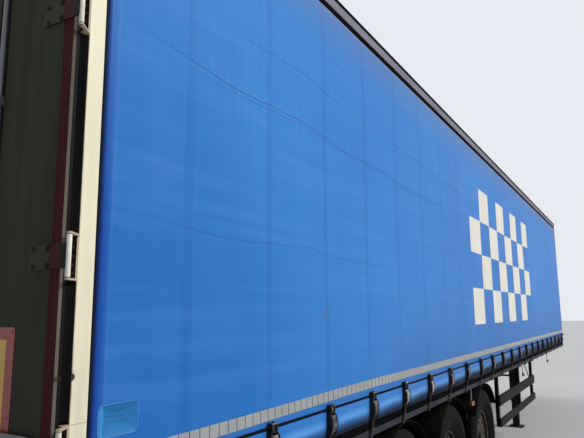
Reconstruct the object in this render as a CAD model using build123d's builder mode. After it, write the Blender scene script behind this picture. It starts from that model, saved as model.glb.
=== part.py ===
from build123d import *
import os
from math import cos, radians, sin

# Semi trailer with side curtains, three axles and two rear doors, parked on its landing legs.
# Millimetres. +X forward, +Y left, +Z up. Lengths along the trailer are stated from the rear face of the
# doors, and at() turns them into X. The origin is on the ground under the middle of the whole object.

os.makedirs("parts", exist_ok=True)

# Overall sizes
width = 2550
height = 4000
load_length = 13620
floor_top = 1235
floor_thickness = 28
half_width = width / 2
floor_under = floor_top - floor_thickness

# Rear portal and doors
door_thickness = 26
seal_gap = 38
post_depth = 70
post_width = 33
post_inset = 7
post_round = 5
header_height = 80
sill_height = 235
sill_wall = 8
door_gap_below = 10
door_gap_middle = 12
door_top_gap = 70
post_rear = door_thickness + seal_gap
post_front = post_rear + post_depth
post_face = half_width - post_inset
post_inner = post_face - post_width
sill_bottom = floor_top - sill_height
door_bottom = floor_top + door_gap_below
door_top = height - door_top_gap

# Front wall and its posts
front_wall_thickness = 50
front_wall_rear = door_thickness + load_length
front_wall_front = front_wall_rear + front_wall_thickness
front_post_depth = 100
front_post_width = 90
front_post_radius = 32
front_post_rear = front_wall_front - front_post_depth
front_panel_recess = 18
front_rib_count = 11
front_rib_pitch = 200
front_pocket_width = 130
front_pocket_bottom = floor_top + 85
front_pocket_below_rail = 100
coupling_reach = 64
buffer_reach = 60

# Place of the origin along the trailer
rear_end = -buffer_reach
front_end = front_wall_front + coupling_reach
middle = (rear_end + front_end) / 2

# Roof and cant rails
roof_depth = 40
nose_height = 70
web_height = 90
web_width = 42
nose_width = 43
rail_top = height - roof_depth
rail_bottom = rail_top - nose_height
rail_web_bottom = rail_bottom - web_height
rail_web_outer = half_width - nose_width
rail_inner = rail_web_outer - web_width
rail_round = 8
roof_thickness = 4
roof_rise = 16
roof_edge_top = height - roof_rise
roof_inset = 3
roof_play = 0.4
bow_width = 40
bow_height = 30
bow_pitch = 700
bow_first = 480
bow_end_gap = 300
bow_count = int((front_post_rear - bow_end_gap - bow_first) // bow_pitch) + 1
carriage_length = 100
carriage_reach = 40
carriage_height = 55

# Raves
rave_height = 100
rave_above_floor = 15
rave_top = floor_top + rave_above_floor
rave_bottom = rave_top - rave_height
rave_wall = 5
rave_inset = 13
rave_play = 1
rave_inner = post_inner + rave_play
rave_face = half_width - rave_inset
rave_radius = 12
rave_web = rave_face - rave_wall

# Curtains and their tension tubes
curtain_thickness = 4
curtain_bottom = rave_bottom + 42
curtain_hem_inset = 8
curtain_belly_inset = 2
curtain_belly_top = rave_bottom + 150
curtain_belly_middle = rave_bottom + 90
curtain_top_bend = rail_bottom - 90
curtain_top_inset = 5
curtain_end_gap = 2
tube_radius = 15
tube_inset = 25
tube_from_post = 18
seat_play = 0.4

# Straps and customs cable
strap_first = 590
strap_pitch = 600
strap_end_gap = 300
strap_count = int((front_post_rear - strap_end_gap - strap_first) // strap_pitch) + 1
strap_width = 45
strap_thickness = 3.5
strap_play = 0.3
hook_thickness = 4
hook_reach = 24
buckle_width = 66
plate_width = 50
lever_width = 52
cable_out = 9
cable_height = rave_bottom + 262
# Outlines of the buckle as (out from the curtain, above the foot of the rave)
cheek_outline = ((0, 120), (14, 114), (27, 126), (40, 162), (40, 206), (32, 234), (22, 241), (0, 241))
slot_outline = ((12, 150), (60, 170), (60, 250), (12, 250))
lever_outline = ((12, 135), (29, 140), (38, 168), (38, 200), (31, 228), (25, 228), (32, 200), (32, 172), (24, 148), (12, 143))
plate_outline = ((0, 236), (24, 236), (30, 252), (30, 276), (22, 287), (0, 287))
cable_radius = 4
eye_size = 8.6
cable_end_length = 30
cable_end_height = 36

# Inner pillars and laths
pillar_count = 3
pillar_spacing = (front_post_rear - post_front) / (pillar_count + 1)
pillar_first = post_front + pillar_spacing
pillar_length = 100
pillar_width = 45
lath_bottoms = tuple(floor_top + rise for rise in (385, 815, 1365, 1915))
lath_height = 100
lath_thickness = 25
lath_play = 0.5

# Chassis
track = 2040
beam_inboard = 370
beam_offset = track / 2 - beam_inboard
beam_flange = 140
beam_web = 6
beam_flange_thickness = 12
beam_neck_depth = 87
beam_deep_depth = 337
beam_tail_depth = 267
beam_neck_bottom = floor_under - beam_neck_depth
beam_deep_bottom = floor_under - beam_deep_depth
beam_neck_length = 3396
beam_taper_length = 1000
beam_taper_front = front_wall_front - beam_neck_length
beam_taper_rear = beam_taper_front - beam_taper_length
beam_tail_rear = 1200
beam_tail_front = 2000
beam_tail_bottom = floor_under - beam_tail_depth
member_first = 290
member_pitch = 600
member_end_gap = 60
member_count = int((front_wall_rear - member_end_gap - member_first) // member_pitch) + 1
member_length = 60
member_wall = 5
member_depth = 75

# Running gear
axle_spacing = 1310
axle_rear = 3140
axle_front = axle_rear + 2 * axle_spacing
tyre_radius = 535
wheel_centre = tyre_radius
tyre_width = 385
tyre_shoulder = 25
tyre_bore = 287
tyre_bulge = 6
tyre_wall_rise = 100
axle_tube_radius = 73
axle_tube_inset = 230
axle_tube_half = track / 2 - axle_tube_inset
brake_flange_radius = 165
brake_flange_thickness = 14
spindle_radius = 45
spindle_reach = 75
spindle_end = track / 2 + spindle_reach
hub_play = 0.3
arm_pivot_ahead = 500
arm_rise = 4
arm_seat_height = wheel_centre + axle_tube_radius + arm_rise
arm_pivot_above_seat = 28
arm_pivot_height = arm_seat_height + arm_pivot_above_seat
arm_eye_radius = 45
arm_width = 90
arm_thickness = 50
arm_straight = 150
arm_tail = 430
arm_drop = 40
arm_pin_radius = 15
seat_margin = 5
seat_length = 160
spring_radius = 140
spring_behind = 340
piston_radius = 84
piston_height = 70
bead_radius = 112
hanger_half_length = 120
hanger_wall = 12
hanger_round = 60
chamber_radius = 80
chamber_length = 150
chamber_bracket = 40
chamber_offset = beam_offset - 230
shock_radius = 30
foot_block = 50
shock_offset = beam_offset - 95
shock_foot_ahead = 110
shock_head_ahead = 260

# Rims, hubs and drums
rim_half = 149
rim_radius = 286
rim_lip_radius = rim_radius + 10
rim_wall = 9
disc_offset = 105
disc_thickness = 14
hub_radius = 140
hub_cap_radius = 75
hub_cap_out = 150
drum_radius = 208
drum_wall = 14
drum_gap = 8
drum_floor = 30
disc_dish = 30
disc_step = 20
hub_step = 21
bore_gap = 5
hand_hole_count = 10
hand_hole_radius = 22
hand_hole_circle = 224
hand_hole_sides = 8

# Mudguards
guard_clearance = 55
guard_radius = tyre_radius + guard_clearance
guard_thickness = 5
guard_half_angle = 58
guard_width = 430
stay_radius = 18
stay_angle = 50

# Landing legs
leg_from_front = 4076
leg_place = front_wall_front - leg_from_front
leg_offset = beam_offset + 200
leg_outer = 125
leg_inner = 100
leg_outer_bottom = 430
leg_top = floor_under - 17
foot_length = 250
foot_width = 230
foot_thickness = 12
leg_bracket_length = 160
leg_bracket_bottom = floor_under - 207
leg_bracket_top = floor_under - 57
shaft_radius = 17
shaft_gap = 13
shaft_height = beam_deep_bottom - shaft_radius - shaft_gap
gearbox_length = 90
gearbox_depth = 60
gearbox_height = 180
crank_reach = 180
crank_drop = 240
crank_radius = 12

# Side guards
plank_rear = axle_front + 690
plank_front = leg_place - 420
plank_inset = 25
plank_face = half_width - plank_inset
plank_thickness = 25
plank_rows = ((790, 120), (540, 90))
guard_posts = (plank_rear + 50, plank_front - 1220, plank_front - 50)
guard_post_length = 60
guard_post_depth = 40
guard_foot_thickness = 10
brace_foot = plank_front - 280
brace_head = plank_front - 730
brace_width = 40
brace_thickness = 8

# Hinges
pivot_ahead = 3
pivot_out = 25
barrel_radius = 8.5
pin_radius = 5
pin_play = 0.3
barrel_half = 66
bracket_half = 75
bracket_arm = 6
bracket_plate = 6
bracket_bend = door_thickness + 10
bracket_shoulder = post_face - 18
bracket_elbow = post_face + 8
bracket_lip = 4
hinge_heights = (door_bottom + 285, door_bottom + 875, door_top - 970, door_top - 230)
hinge_leaf = 6
hinge_leaf_height = 80
hinge_leaf_reach = 150
pivot_y = half_width + pivot_out

# Lock rods
rod_radius = 10
rod_out = 1
rod_places = (420, 1010)
channel_width = 64
channel_depth = 12
rod_end_gap = 12
guide_heights = (door_bottom + 55, door_bottom + 655, door_bottom + 1455, door_top - 530, door_top - 60)
guide_width = 50
guide_height = 30
guide_out = 15
handle_height = door_bottom + 315
handle_length = 300
handle_width = 30
handle_out = 20
handle_thickness = 8

# Rear underrun bar, lamps and buffers
underrun_rear = 180
underrun_depth = 100
underrun_bottom = 420
underrun_height = 120
underrun_half = half_width - 75
underrun_round = 15
underrun_arm = 80
lamp_rear = -10
lamp_front = 30
lamp_width = 440
lamp_outer = half_width - 105
lamp_inner = lamp_outer - lamp_width
lamp_bottom = sill_bottom - 155
lamp_height = 135
lamp_round = 8
lamp_board = 6
lamp_board_bottom = sill_bottom - 180
buffer_inner = half_width - 235
buffer_width = 130
buffer_bottom = sill_bottom + 15
buffer_height = 205
buffer_round = 25
marker_places = (axle_rear - 1000, axle_front - 690, plank_front - 1000, leg_place + 1310)
marker_length = 110
marker_height = 42
marker_thickness = 22
marker_bottom = rave_bottom - 165
marker_arm = 4

# Kingpin and coupling plate
kingpin_setback = 1620
kingpin_place = front_wall_front - kingpin_setback
coupling_plate = 10
coupling_length = 1500
coupling_half_width = beam_offset + 50
pin_boss_radius = 36.5
pin_neck_radius = 25.4
pin_flange_radius = 35.75
pin_boss_height = 30
pin_neck_height = 35
pin_flange_height = 19

# Air tanks and front couplings
tank_rear = axle_front + 1040
tank_length = 800
tank_radius = 140
tank_offset = beam_offset - 400
tank_height = floor_under - 267
tank_dome = 40
tank_hangers = (member_first + 11 * member_pitch, member_first + 12 * member_pitch)
tank_hanger_length = 30
tank_hanger_width = 40
coupling_board_half = 260
coupling_board_bottom = beam_neck_bottom - 110
coupling_board_thickness = 6
coupling_places = (-200, -120, 0, 90, 180)
coupling_radius = 28
coupling_rise = 65

SIDES = (("left", 1), ("right", -1))
AXLES = (("rear", 0), ("middle", 1), ("front", 2))


def at(from_rear):
    return from_rear - middle


def save(piece, name):
    piece.part.label = name
    export_step(piece.part, f"parts/{name}.step")


def block(xs, ys, zs, mode=Mode.ADD):
    """A block between two places along each axis, made in the current part."""
    spans = [abs(b - a) for a, b in (xs, ys, zs)]
    centre = [(a + b) / 2 for a, b in (xs, ys, zs)]
    with Locations(tuple(centre)):
        Box(*spans, mode=mode)


def axle_x(number):
    return at(axle_rear + number * axle_spacing)


# Chassis beams: one stepped I-beam on each side
def beam_outline(grow):
    top = floor_under - grow
    low = beam_deep_bottom + grow
    neck = beam_neck_bottom + grow
    tail = beam_tail_bottom + grow
    Polyline(
        (at(post_front), top),
        (at(post_front), tail),
        (at(beam_tail_rear), tail),
        (at(beam_tail_front), low),
        (at(beam_taper_rear), low),
        (at(beam_taper_front), neck),
        (at(front_wall_rear), neck),
        (at(front_wall_rear), top),
        close=True,
    )


with BuildPart() as chassis_beams:
    for _, side in SIDES:
        with BuildSketch(Plane.XZ.offset(-side * beam_offset)):
            with BuildLine():
                beam_outline(0)
            make_face()
        extrude(amount=beam_flange / 2, both=True)
    for _, side in SIDES:
        for face in (1, -1):
            start = side * beam_offset + face * beam_web / 2
            with BuildSketch(Plane.XZ.offset(-start)):
                with BuildLine():
                    beam_outline(beam_flange_thickness)
                make_face()
            extrude(amount=-face * beam_flange, mode=Mode.SUBTRACT)
save(chassis_beams, "chassis_beams")

# Cross members: a channel between the beams and an outrigger on each side of them
inner_end = beam_offset - beam_web / 2
outer_start = beam_offset + beam_web / 2
flange_inner = beam_offset - beam_flange / 2
flange_outer = beam_offset + beam_flange / 2
flange_under = floor_under - beam_flange_thickness
member_bottom = floor_under - member_depth
outrigger_tip = rave_bottom + rave_wall


def middle_outline(grow):
    Polyline(
        (-inner_end, member_bottom + grow),
        (inner_end, member_bottom + grow),
        (inner_end, flange_under - grow),
        (flange_inner - grow, flange_under - grow),
        (flange_inner - grow, floor_under - grow),
        (-flange_inner + grow, floor_under - grow),
        (-flange_inner + grow, flange_under - grow),
        (-inner_end, flange_under - grow),
        close=True,
    )


def outrigger_outline(side, grow):
    Polyline(
        (side * outer_start, member_bottom + grow),
        (side * rave_inner, outrigger_tip + grow),
        (side * (rave_web - rave_radius), outrigger_tip + grow),
        (side * rave_web, outrigger_tip + rave_radius + grow),
        (side * rave_web, floor_under - grow),
        (side * (flange_outer + grow), floor_under - grow),
        (side * (flange_outer + grow), flange_under - grow),
        (side * outer_start, flange_under - grow),
        close=True,
    )


member_steps = ((0, 0, Mode.ADD), (member_wall, member_wall, Mode.SUBTRACT))  # start, inset, mode
with BuildPart() as one_member:
    for start, inset, mode in member_steps:
        with BuildSketch(Plane.YZ.offset(start - member_length / 2)):
            with BuildLine():
                middle_outline(inset)
            make_face()
            for _, side in SIDES:
                with BuildLine():
                    outrigger_outline(side, inset)
                make_face()
        extrude(amount=member_length, mode=mode)
member_places = [(at(member_first + n * member_pitch), 0, 0) for n in range(member_count)]
with BuildPart() as cross_members:
    with Locations(*member_places):
        add(one_member.part)
save(cross_members, "cross_members")

# Floor deck between the sill and the front wall
with BuildPart() as floor_deck:
    block((at(post_front), at(front_wall_rear)), (-post_inner, post_inner), (floor_under, floor_top))
save(floor_deck, "floor_deck")

# Side raves: a channel with rounded outer corners under each curtain
rave_middle = (rave_bottom + rave_top) / 2
with BuildPart() as side_raves:
    for _, side in SIDES:
        with BuildSketch(Plane.YZ.offset(at(post_front))):
            with Locations((side * (rave_inner + rave_face) / 2, rave_middle)):
                Rectangle(rave_face - rave_inner, rave_top - rave_bottom)
            corners = vertices().group_by(Axis.X)[-1 if side > 0 else 0]
            fillet(corners, rave_radius)
        extrude(amount=front_post_rear - post_front)
    for _, side in SIDES:
        with BuildSketch(Plane.YZ.offset(at(post_front))):
            with Locations((side * (rave_inner + rave_web) / 2, rave_middle)):
                Rectangle(rave_web - rave_inner, rave_top - rave_bottom - 2 * rave_wall)
            corners = vertices().group_by(Axis.X)[-1 if side > 0 else 0]
            fillet(corners, rave_radius - rave_wall)
        extrude(amount=front_post_rear - post_front, mode=Mode.SUBTRACT)
save(side_raves, "side_raves")

# Roof sheet: a shallow arch with an edge that folds down on to the cant rails
roof_half = half_width - roof_inset
roof_inner_half = roof_half - roof_thickness
roof_inner_top = height - roof_thickness
roof_inner_edge = roof_edge_top - roof_thickness


def under_roof(y):
    """Height of a seat just under the roof sheet, at a distance from the middle of the trailer."""
    return roof_inner_top - roof_rise * (y / roof_inner_half) ** 2 - roof_play


with BuildPart() as roof_sheet:
    with BuildSketch(Plane.YZ.offset(at(post_rear))):
        with BuildLine():
            ThreePointArc((-roof_half, roof_edge_top), (0, height), (roof_half, roof_edge_top))
            Line((roof_half, roof_edge_top), (roof_half, rail_top))
            Line((roof_half, rail_top), (roof_inner_half, rail_top))
            Line((roof_inner_half, rail_top), (roof_inner_half, roof_inner_edge))
            ThreePointArc(
                (roof_inner_half, roof_inner_edge), (0, roof_inner_top), (-roof_inner_half, roof_inner_edge)
            )
            Line((-roof_inner_half, roof_inner_edge), (-roof_inner_half, rail_top))
            Line((-roof_inner_half, rail_top), (-roof_half, rail_top))
            Line((-roof_half, rail_top), (-roof_half, roof_edge_top))
        make_face()
    extrude(amount=front_wall_front - post_rear)
save(roof_sheet, "roof_sheet")

# Roof bows: arched cross pieces with a carriage at each end that runs along the cant rail
bow_end = rail_inner - seat_play
with BuildPart() as one_bow:
    with BuildSketch(Plane.YZ.offset(-bow_width / 2)):
        with BuildLine():
            ThreePointArc((-bow_end, under_roof(bow_end)), (0, under_roof(0)), (bow_end, under_roof(bow_end)))
            Line((bow_end, under_roof(bow_end)), (bow_end, under_roof(bow_end) - bow_height))
            ThreePointArc(
                (bow_end, under_roof(bow_end) - bow_height),
                (0, under_roof(0) - bow_height),
                (-bow_end, under_roof(bow_end) - bow_height),
            )
            Line((-bow_end, under_roof(bow_end) - bow_height), (-bow_end, under_roof(bow_end)))
        make_face()
    extrude(amount=bow_width)
    for _, side in SIDES:
        block(
            (-carriage_length / 2, carriage_length / 2),
            (side * (bow_end - carriage_reach), side * bow_end),
            (rail_top - carriage_height, rail_top),
        )
with BuildPart() as roof_bows:
    with Locations(*[(at(bow_first + n * bow_pitch), 0, 0) for n in range(bow_count)]):
        add(one_bow.part)
save(roof_bows, "roof_bows")

# Cant rails: nose over the curtain, web behind it
with BuildPart() as cant_rails:
    for _, side in SIDES:
        with BuildSketch(Plane.YZ.offset(at(post_front))):
            with BuildLine():
                Polyline(
                    (side * rail_inner, rail_web_bottom),
                    (side * rail_web_outer, rail_web_bottom),
                    (side * rail_web_outer, rail_bottom),
                    (side * half_width, rail_bottom),
                    (side * half_width, rail_top - rail_round),
                    (side * (half_width - rail_round), rail_top),
                    (side * rail_inner, rail_top),
                    close=True,
                )
            make_face()
        extrude(amount=front_post_rear - post_front)
save(cant_rails, "cant_rails")

# Rear corner posts
post_top = under_roof(post_face) - seat_play
with BuildPart() as rear_posts:
    for _, side in SIDES:
        block((at(post_rear), at(post_front)), (side * post_inner, side * post_face), (floor_top, post_top))
    corners = rear_posts.edges().filter_by(Axis.Z).group_by(Axis.Y)
    fillet(corners[0] + corners[-1], post_round)
save(rear_posts, "rear_posts")

# Rear header between the posts, its top under the arch of the roof
with BuildPart() as rear_header:
    with BuildSketch(Plane.YZ.offset(at(post_rear))):
        with BuildLine():
            ThreePointArc(
                (-post_inner, under_roof(post_inner)), (0, under_roof(0)), (post_inner, under_roof(post_inner))
            )
            Line((post_inner, under_roof(post_inner)), (post_inner, rail_top - header_height))
            Line((post_inner, rail_top - header_height), (-post_inner, rail_top - header_height))
            Line((-post_inner, rail_top - header_height), (-post_inner, under_roof(post_inner)))
        make_face()
    extrude(amount=post_depth)
save(rear_header, "rear_header")

# Rear sill: a channel across the end of the chassis, with a board for the lamps under each side
with BuildPart() as rear_sill:
    block((at(0), at(post_front)), (-post_face, post_face), (sill_bottom, floor_top))
    block(
        (at(sill_wall), at(post_front)),
        (-post_face + sill_wall, post_face - sill_wall),
        (sill_bottom + sill_wall, floor_top - sill_wall),
        mode=Mode.SUBTRACT,
    )
    for _, side in SIDES:
        block(
            (at(lamp_front), at(lamp_front + lamp_board)),
            (side * flange_outer, side * (lamp_outer + lamp_board)),
            (lamp_board_bottom, sill_bottom),
        )
save(rear_sill, "rear_sill")

# Front wall: a ribbed panel whose top follows the arch of the roof
wall_half = half_width - front_post_width
front_pocket_top = rail_top - front_pocket_below_rail
pocket_height = front_pocket_top - front_pocket_bottom
with BuildPart() as front_wall:
    with BuildSketch(Plane.YZ.offset(at(front_wall_rear))):
        with BuildLine():
            ThreePointArc(
                (-wall_half, under_roof(wall_half)), (0, under_roof(0)), (wall_half, under_roof(wall_half))
            )
            Line((wall_half, under_roof(wall_half)), (wall_half, beam_neck_bottom))
            Line((wall_half, beam_neck_bottom), (-wall_half, beam_neck_bottom))
            Line((-wall_half, beam_neck_bottom), (-wall_half, under_roof(wall_half)))
        make_face()
    extrude(amount=front_wall_thickness)
    pocket_x = at(front_wall_front) - front_panel_recess / 2
    pocket_z = (front_pocket_bottom + front_pocket_top) / 2
    pocket_ys = [(n - (front_rib_count - 1) / 2) * front_rib_pitch for n in range(front_rib_count)]
    with Locations(*[(pocket_x, y, pocket_z) for y in pocket_ys]):
        Box(front_panel_recess, front_pocket_width, pocket_height, mode=Mode.SUBTRACT)
save(front_wall, "front_wall")

# Front corner posts: angles with a rounded outer corner
front_post_top = under_roof(post_face) - seat_play
with BuildPart() as front_posts:
    for _, side in SIDES:
        with BuildSketch(Plane.XY.offset(rave_bottom)):
            with BuildLine():
                Polyline(
                    (at(front_post_rear), side * post_inner),
                    (at(front_post_rear), side * post_face),
                    (at(front_wall_front) - front_post_radius, side * post_face),
                )
                RadiusArc(
                    (at(front_wall_front) - front_post_radius, side * post_face),
                    (at(front_wall_front), side * (post_face - front_post_radius)),
                    side * front_post_radius,
                )
                Polyline(
                    (at(front_wall_front), side * (post_face - front_post_radius)),
                    (at(front_wall_front), side * wall_half),
                    (at(front_wall_rear), side * wall_half),
                    (at(front_wall_rear), side * post_inner),
                    (at(front_post_rear), side * post_inner),
                )
            make_face()
        extrude(amount=front_post_top - rave_bottom)
save(front_posts, "front_posts")

# Curtains: flat above, with a belly that tucks in at the hem
curtain_top = rail_bottom - seat_play
curtain_length = front_post_rear - post_front - 2 * curtain_end_gap
for name, side in SIDES:
    face_low = half_width - curtain_hem_inset
    face_bend = half_width - curtain_belly_inset
    face_top = half_width - curtain_top_inset
    with BuildPart() as curtain:
        with BuildSketch(Plane.YZ.offset(at(post_front + curtain_end_gap))):
            with BuildLine():
                ThreePointArc(
                    (side * face_low, curtain_bottom),
                    (side * face_bend, curtain_belly_middle),
                    (side * half_width, curtain_belly_top),
                )
                Polyline(
                    (side * half_width, curtain_belly_top),
                    (side * half_width, curtain_top_bend),
                    (side * face_top, curtain_top),
                    (side * (face_top - curtain_thickness), curtain_top),
                    (side * (half_width - curtain_thickness), curtain_top_bend),
                    (side * (half_width - curtain_thickness), curtain_belly_top),
                )
                ThreePointArc(
                    (side * (half_width - curtain_thickness), curtain_belly_top),
                    (side * (face_bend - curtain_thickness), curtain_belly_middle),
                    (side * (face_low - curtain_thickness), curtain_bottom),
                )
                Line(
                    (side * (face_low - curtain_thickness), curtain_bottom),
                    (side * face_low, curtain_bottom),
                )
            make_face()
        extrude(amount=curtain_length)
    save(curtain, f"curtain_{name}")

# Tension tubes: an upright tube inside each end of each curtain
tube_places = [
    (at(x), side * (half_width - tube_inset), rave_top)
    for x in (post_front + tube_from_post, front_post_rear - tube_from_post)
    for _, side in SIDES
]
with BuildPart() as tension_tubes:
    with Locations(*tube_places):
        Cylinder(
            tube_radius,
            rail_bottom - seat_play - rave_top,
            align=(Align.CENTER, Align.CENTER, Align.MIN),
        )
save(tension_tubes, "tension_tubes")

# Side pillars under the cant rails
pillar_places = [pillar_first + n * pillar_spacing for n in range(pillar_count)]
pillar_outer = rail_web_outer
pillar_top = rail_web_bottom - seat_play
with BuildPart() as side_pillars:
    with Locations(
        *[
            (at(x), side * (pillar_outer - pillar_width / 2), floor_top)
            for x in pillar_places
            for _, side in SIDES
        ]
    ):
        Box(
            pillar_length,
            pillar_width,
            pillar_top - floor_top,
            align=(Align.CENTER, Align.CENTER, Align.MIN),
        )
save(side_pillars, "side_pillars")

# Side laths between the posts and pillars
lath_stops = [post_front] + pillar_places + [front_post_rear]
lath_y = pillar_outer - pillar_width / 2
with BuildPart() as side_laths:
    for bay in range(pillar_count + 1):
        start = lath_stops[bay] + (pillar_length / 2 if bay > 0 else 0) + lath_play
        stop = lath_stops[bay + 1] - (pillar_length / 2 if bay < pillar_count else 0) - lath_play
        with Locations(
            *[
                (at((start + stop) / 2), side * lath_y, bottom + lath_height / 2)
                for bottom in lath_bottoms
                for _, side in SIDES
            ]
        ):
            Box(stop - start, lath_thickness, lath_height)
save(side_laths, "side_laths")

# Straps: webbing down the curtain, a hook under the rave, a tensioner and an eye plate for the cable
strap_inner = half_width + strap_play
strap_outer = strap_inner + strap_thickness
strap_top = rave_bottom + cheek_outline[0][1]
hook_top = rave_bottom - strap_play
cable_y = strap_inner + cable_out


def buckle_face(outline, side):
    Polyline(*[(side * (strap_inner + out), rave_bottom + rise) for out, rise in outline], close=True)


for name, side in SIDES:
    with BuildPart() as one_strap:
        with BuildSketch(Plane.YZ.offset(-strap_width / 2)):
            with BuildLine():
                Polyline(
                    (side * strap_inner, hook_top),
                    (side * (strap_inner - hook_reach), hook_top),
                    (side * (strap_inner - hook_reach), hook_top - hook_thickness),
                    (side * strap_outer, hook_top - hook_thickness),
                    (side * strap_outer, strap_top),
                    (side * strap_inner, strap_top),
                    close=True,
                )
            make_face()
        extrude(amount=strap_width)
        # outline, width, mode
        for outline, wide, mode in (
            (cheek_outline, buckle_width, Mode.ADD),
            (slot_outline, lever_width, Mode.SUBTRACT),
            (lever_outline, lever_width, Mode.ADD),
            (plate_outline, plate_width, Mode.ADD),
        ):
            with BuildSketch(Plane.YZ.offset(-wide / 2)):
                with BuildLine():
                    buckle_face(outline, side)
                make_face()
            extrude(amount=wide, mode=mode)
        with Locations((0, side * cable_y, cable_height)):
            Box(buckle_width, eye_size, eye_size, mode=Mode.SUBTRACT)
    with BuildPart() as straps:
        with Locations(*[(at(strap_first + n * strap_pitch), 0, 0) for n in range(strap_count)]):
            add(one_strap.part)
    save(straps, f"straps_{name}")

# Customs cables: one along each side, through the eye plates, with an end fitting on each corner post
cable_rear = post_rear + post_depth / 2
cable_front = front_post_rear + front_post_depth / 2
with BuildPart() as customs_cables:
    for _, side in SIDES:
        with BuildSketch(Plane.YZ.offset(at(cable_rear))):
            with Locations((side * cable_y, cable_height)):
                Circle(cable_radius)
        extrude(amount=cable_front - cable_rear)
        for x in (cable_rear, cable_front):
            block(
                (at(x - cable_end_length / 2), at(x + cable_end_length / 2)),
                (side * post_face, side * (cable_y + cable_radius)),
                (cable_height - cable_end_height / 2, cable_height + cable_end_height / 2),
            )
save(customs_cables, "customs_cables")

# Axles: tube, spindles, brake flanges, arm seats, brake chambers and shock absorber feet
seat_half = arm_width / 2 + seat_margin
for name, number in AXLES:
    x = axle_x(number)
    with BuildPart() as axle:
        with Locations(Plane.XZ.offset(0)):
            with Locations((x, wheel_centre, 0)):
                Cylinder(axle_tube_radius, 2 * axle_tube_half)
                Cylinder(spindle_radius, 2 * spindle_end)
        for _, side in SIDES:
            with BuildSketch(Plane.XZ.offset(-side * axle_tube_half)):
                with Locations((x, wheel_centre)):
                    Circle(brake_flange_radius)
            extrude(amount=side * brake_flange_thickness)
            block(
                (x - seat_length / 2, x + seat_length / 2),
                (side * (beam_offset - seat_half), side * (beam_offset + seat_half)),
                (wheel_centre, arm_seat_height),
            )
            block(
                (x, x + shock_foot_ahead + foot_block / 2),
                (side * (shock_offset - foot_block / 2), side * (shock_offset + foot_block / 2)),
                (wheel_centre - foot_block / 2, wheel_centre + foot_block / 2),
            )
            block(
                (x, x + axle_tube_radius + chamber_bracket),
                (side * (chamber_offset - chamber_bracket), side * (chamber_offset + chamber_bracket)),
                (wheel_centre - chamber_bracket, wheel_centre + chamber_bracket),
            )
            with BuildSketch(Plane.YZ.offset(x + axle_tube_radius + chamber_bracket)):
                with Locations((side * chamber_offset, wheel_centre)):
                    Circle(chamber_radius)
            extrude(amount=chamber_length)
    save(axle, f"axle_{name}")

# Trailing arms: eye at the hanger, straight over the axle, then down to the air spring
arm_top = arm_seat_height + arm_thickness
with BuildPart() as trailing_arms:
    for _, number in AXLES:
        x = axle_x(number)
        for _, side in SIDES:
            with BuildSketch(Plane.XZ.offset(-side * beam_offset)):
                with BuildLine():
                    Polyline(
                        (x + arm_pivot_ahead, arm_seat_height),
                        (x - arm_straight, arm_seat_height),
                        (x - arm_straight - arm_drop, arm_seat_height - arm_drop),
                        (x - arm_tail, arm_seat_height - arm_drop),
                        (x - arm_tail, arm_top - arm_drop),
                        (x - arm_straight - arm_drop, arm_top - arm_drop),
                        (x - arm_straight, arm_top),
                        (x + arm_pivot_ahead, arm_top),
                        close=True,
                    )
                make_face()
                with Locations((x + arm_pivot_ahead, arm_pivot_height)):
                    Circle(arm_eye_radius)
                    Circle(arm_pin_radius + pin_play, mode=Mode.SUBTRACT)
            extrude(amount=arm_width / 2, both=True)
save(trailing_arms, "trailing_arms")

# Hangers: two cheek plates, a front plate and the pivot pin, under each beam
cheek_inner = arm_width / 2 + pin_play
cheek_outer = cheek_inner + hanger_wall
with BuildPart() as hangers:
    for _, number in AXLES:
        pivot = axle_x(number) + arm_pivot_ahead
        for _, side in SIDES:
            with BuildSketch(Plane.XZ.offset(-side * beam_offset)):
                with Locations((pivot, arm_pivot_height)):
                    Circle(hanger_round)
                with BuildLine():
                    Polyline(
                        (pivot - hanger_half_length, beam_deep_bottom),
                        (pivot + hanger_half_length, beam_deep_bottom),
                        (pivot + hanger_round, arm_pivot_height),
                        (pivot - hanger_round, arm_pivot_height),
                        close=True,
                    )
                make_face()
            extrude(amount=cheek_outer, both=True)
            block(
                (pivot - hanger_half_length, pivot + hanger_round - hanger_wall),
                (side * beam_offset - cheek_inner, side * beam_offset + cheek_inner),
                (arm_pivot_height - hanger_round, beam_deep_bottom - hanger_wall),
                mode=Mode.SUBTRACT,
            )
            with BuildSketch(Plane.XZ.offset(-side * beam_offset)):
                with Locations((pivot, arm_pivot_height)):
                    Circle(arm_eye_radius + hanger_wall)
            extrude(amount=cheek_inner, both=True, mode=Mode.SUBTRACT)
            with BuildSketch(Plane.XZ.offset(-side * beam_offset)):
                with Locations((pivot, arm_pivot_height)):
                    Circle(arm_pin_radius)
            extrude(amount=cheek_outer, both=True)
save(hangers, "hangers")

# Air springs: a bellows with two lobes between each arm and the beam
spring_bottom = arm_top - arm_drop
spring_waist = (spring_bottom + beam_deep_bottom) / 2
spring_places = [
    (axle_x(n) - spring_behind, side * beam_offset, 0) for _, n in AXLES for _, side in SIDES
]
with BuildPart() as one_spring:
    with BuildSketch(Plane.XZ):
        with BuildLine():
            Polyline(
                (0, beam_deep_bottom),
                (0, spring_bottom),
                (piston_radius, spring_bottom),
                (piston_radius, spring_bottom + piston_height),
            )
            ThreePointArc(
                (piston_radius, spring_bottom + piston_height),
                (spring_radius, (spring_waist + beam_deep_bottom) / 2),
                (bead_radius, beam_deep_bottom),
            )
            Line((bead_radius, beam_deep_bottom), (0, beam_deep_bottom))
        make_face()
    revolve(axis=Axis.Z)
with BuildPart() as air_springs:
    with Locations(*spring_places):
        add(one_spring.part)
save(air_springs, "air_springs")

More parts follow.
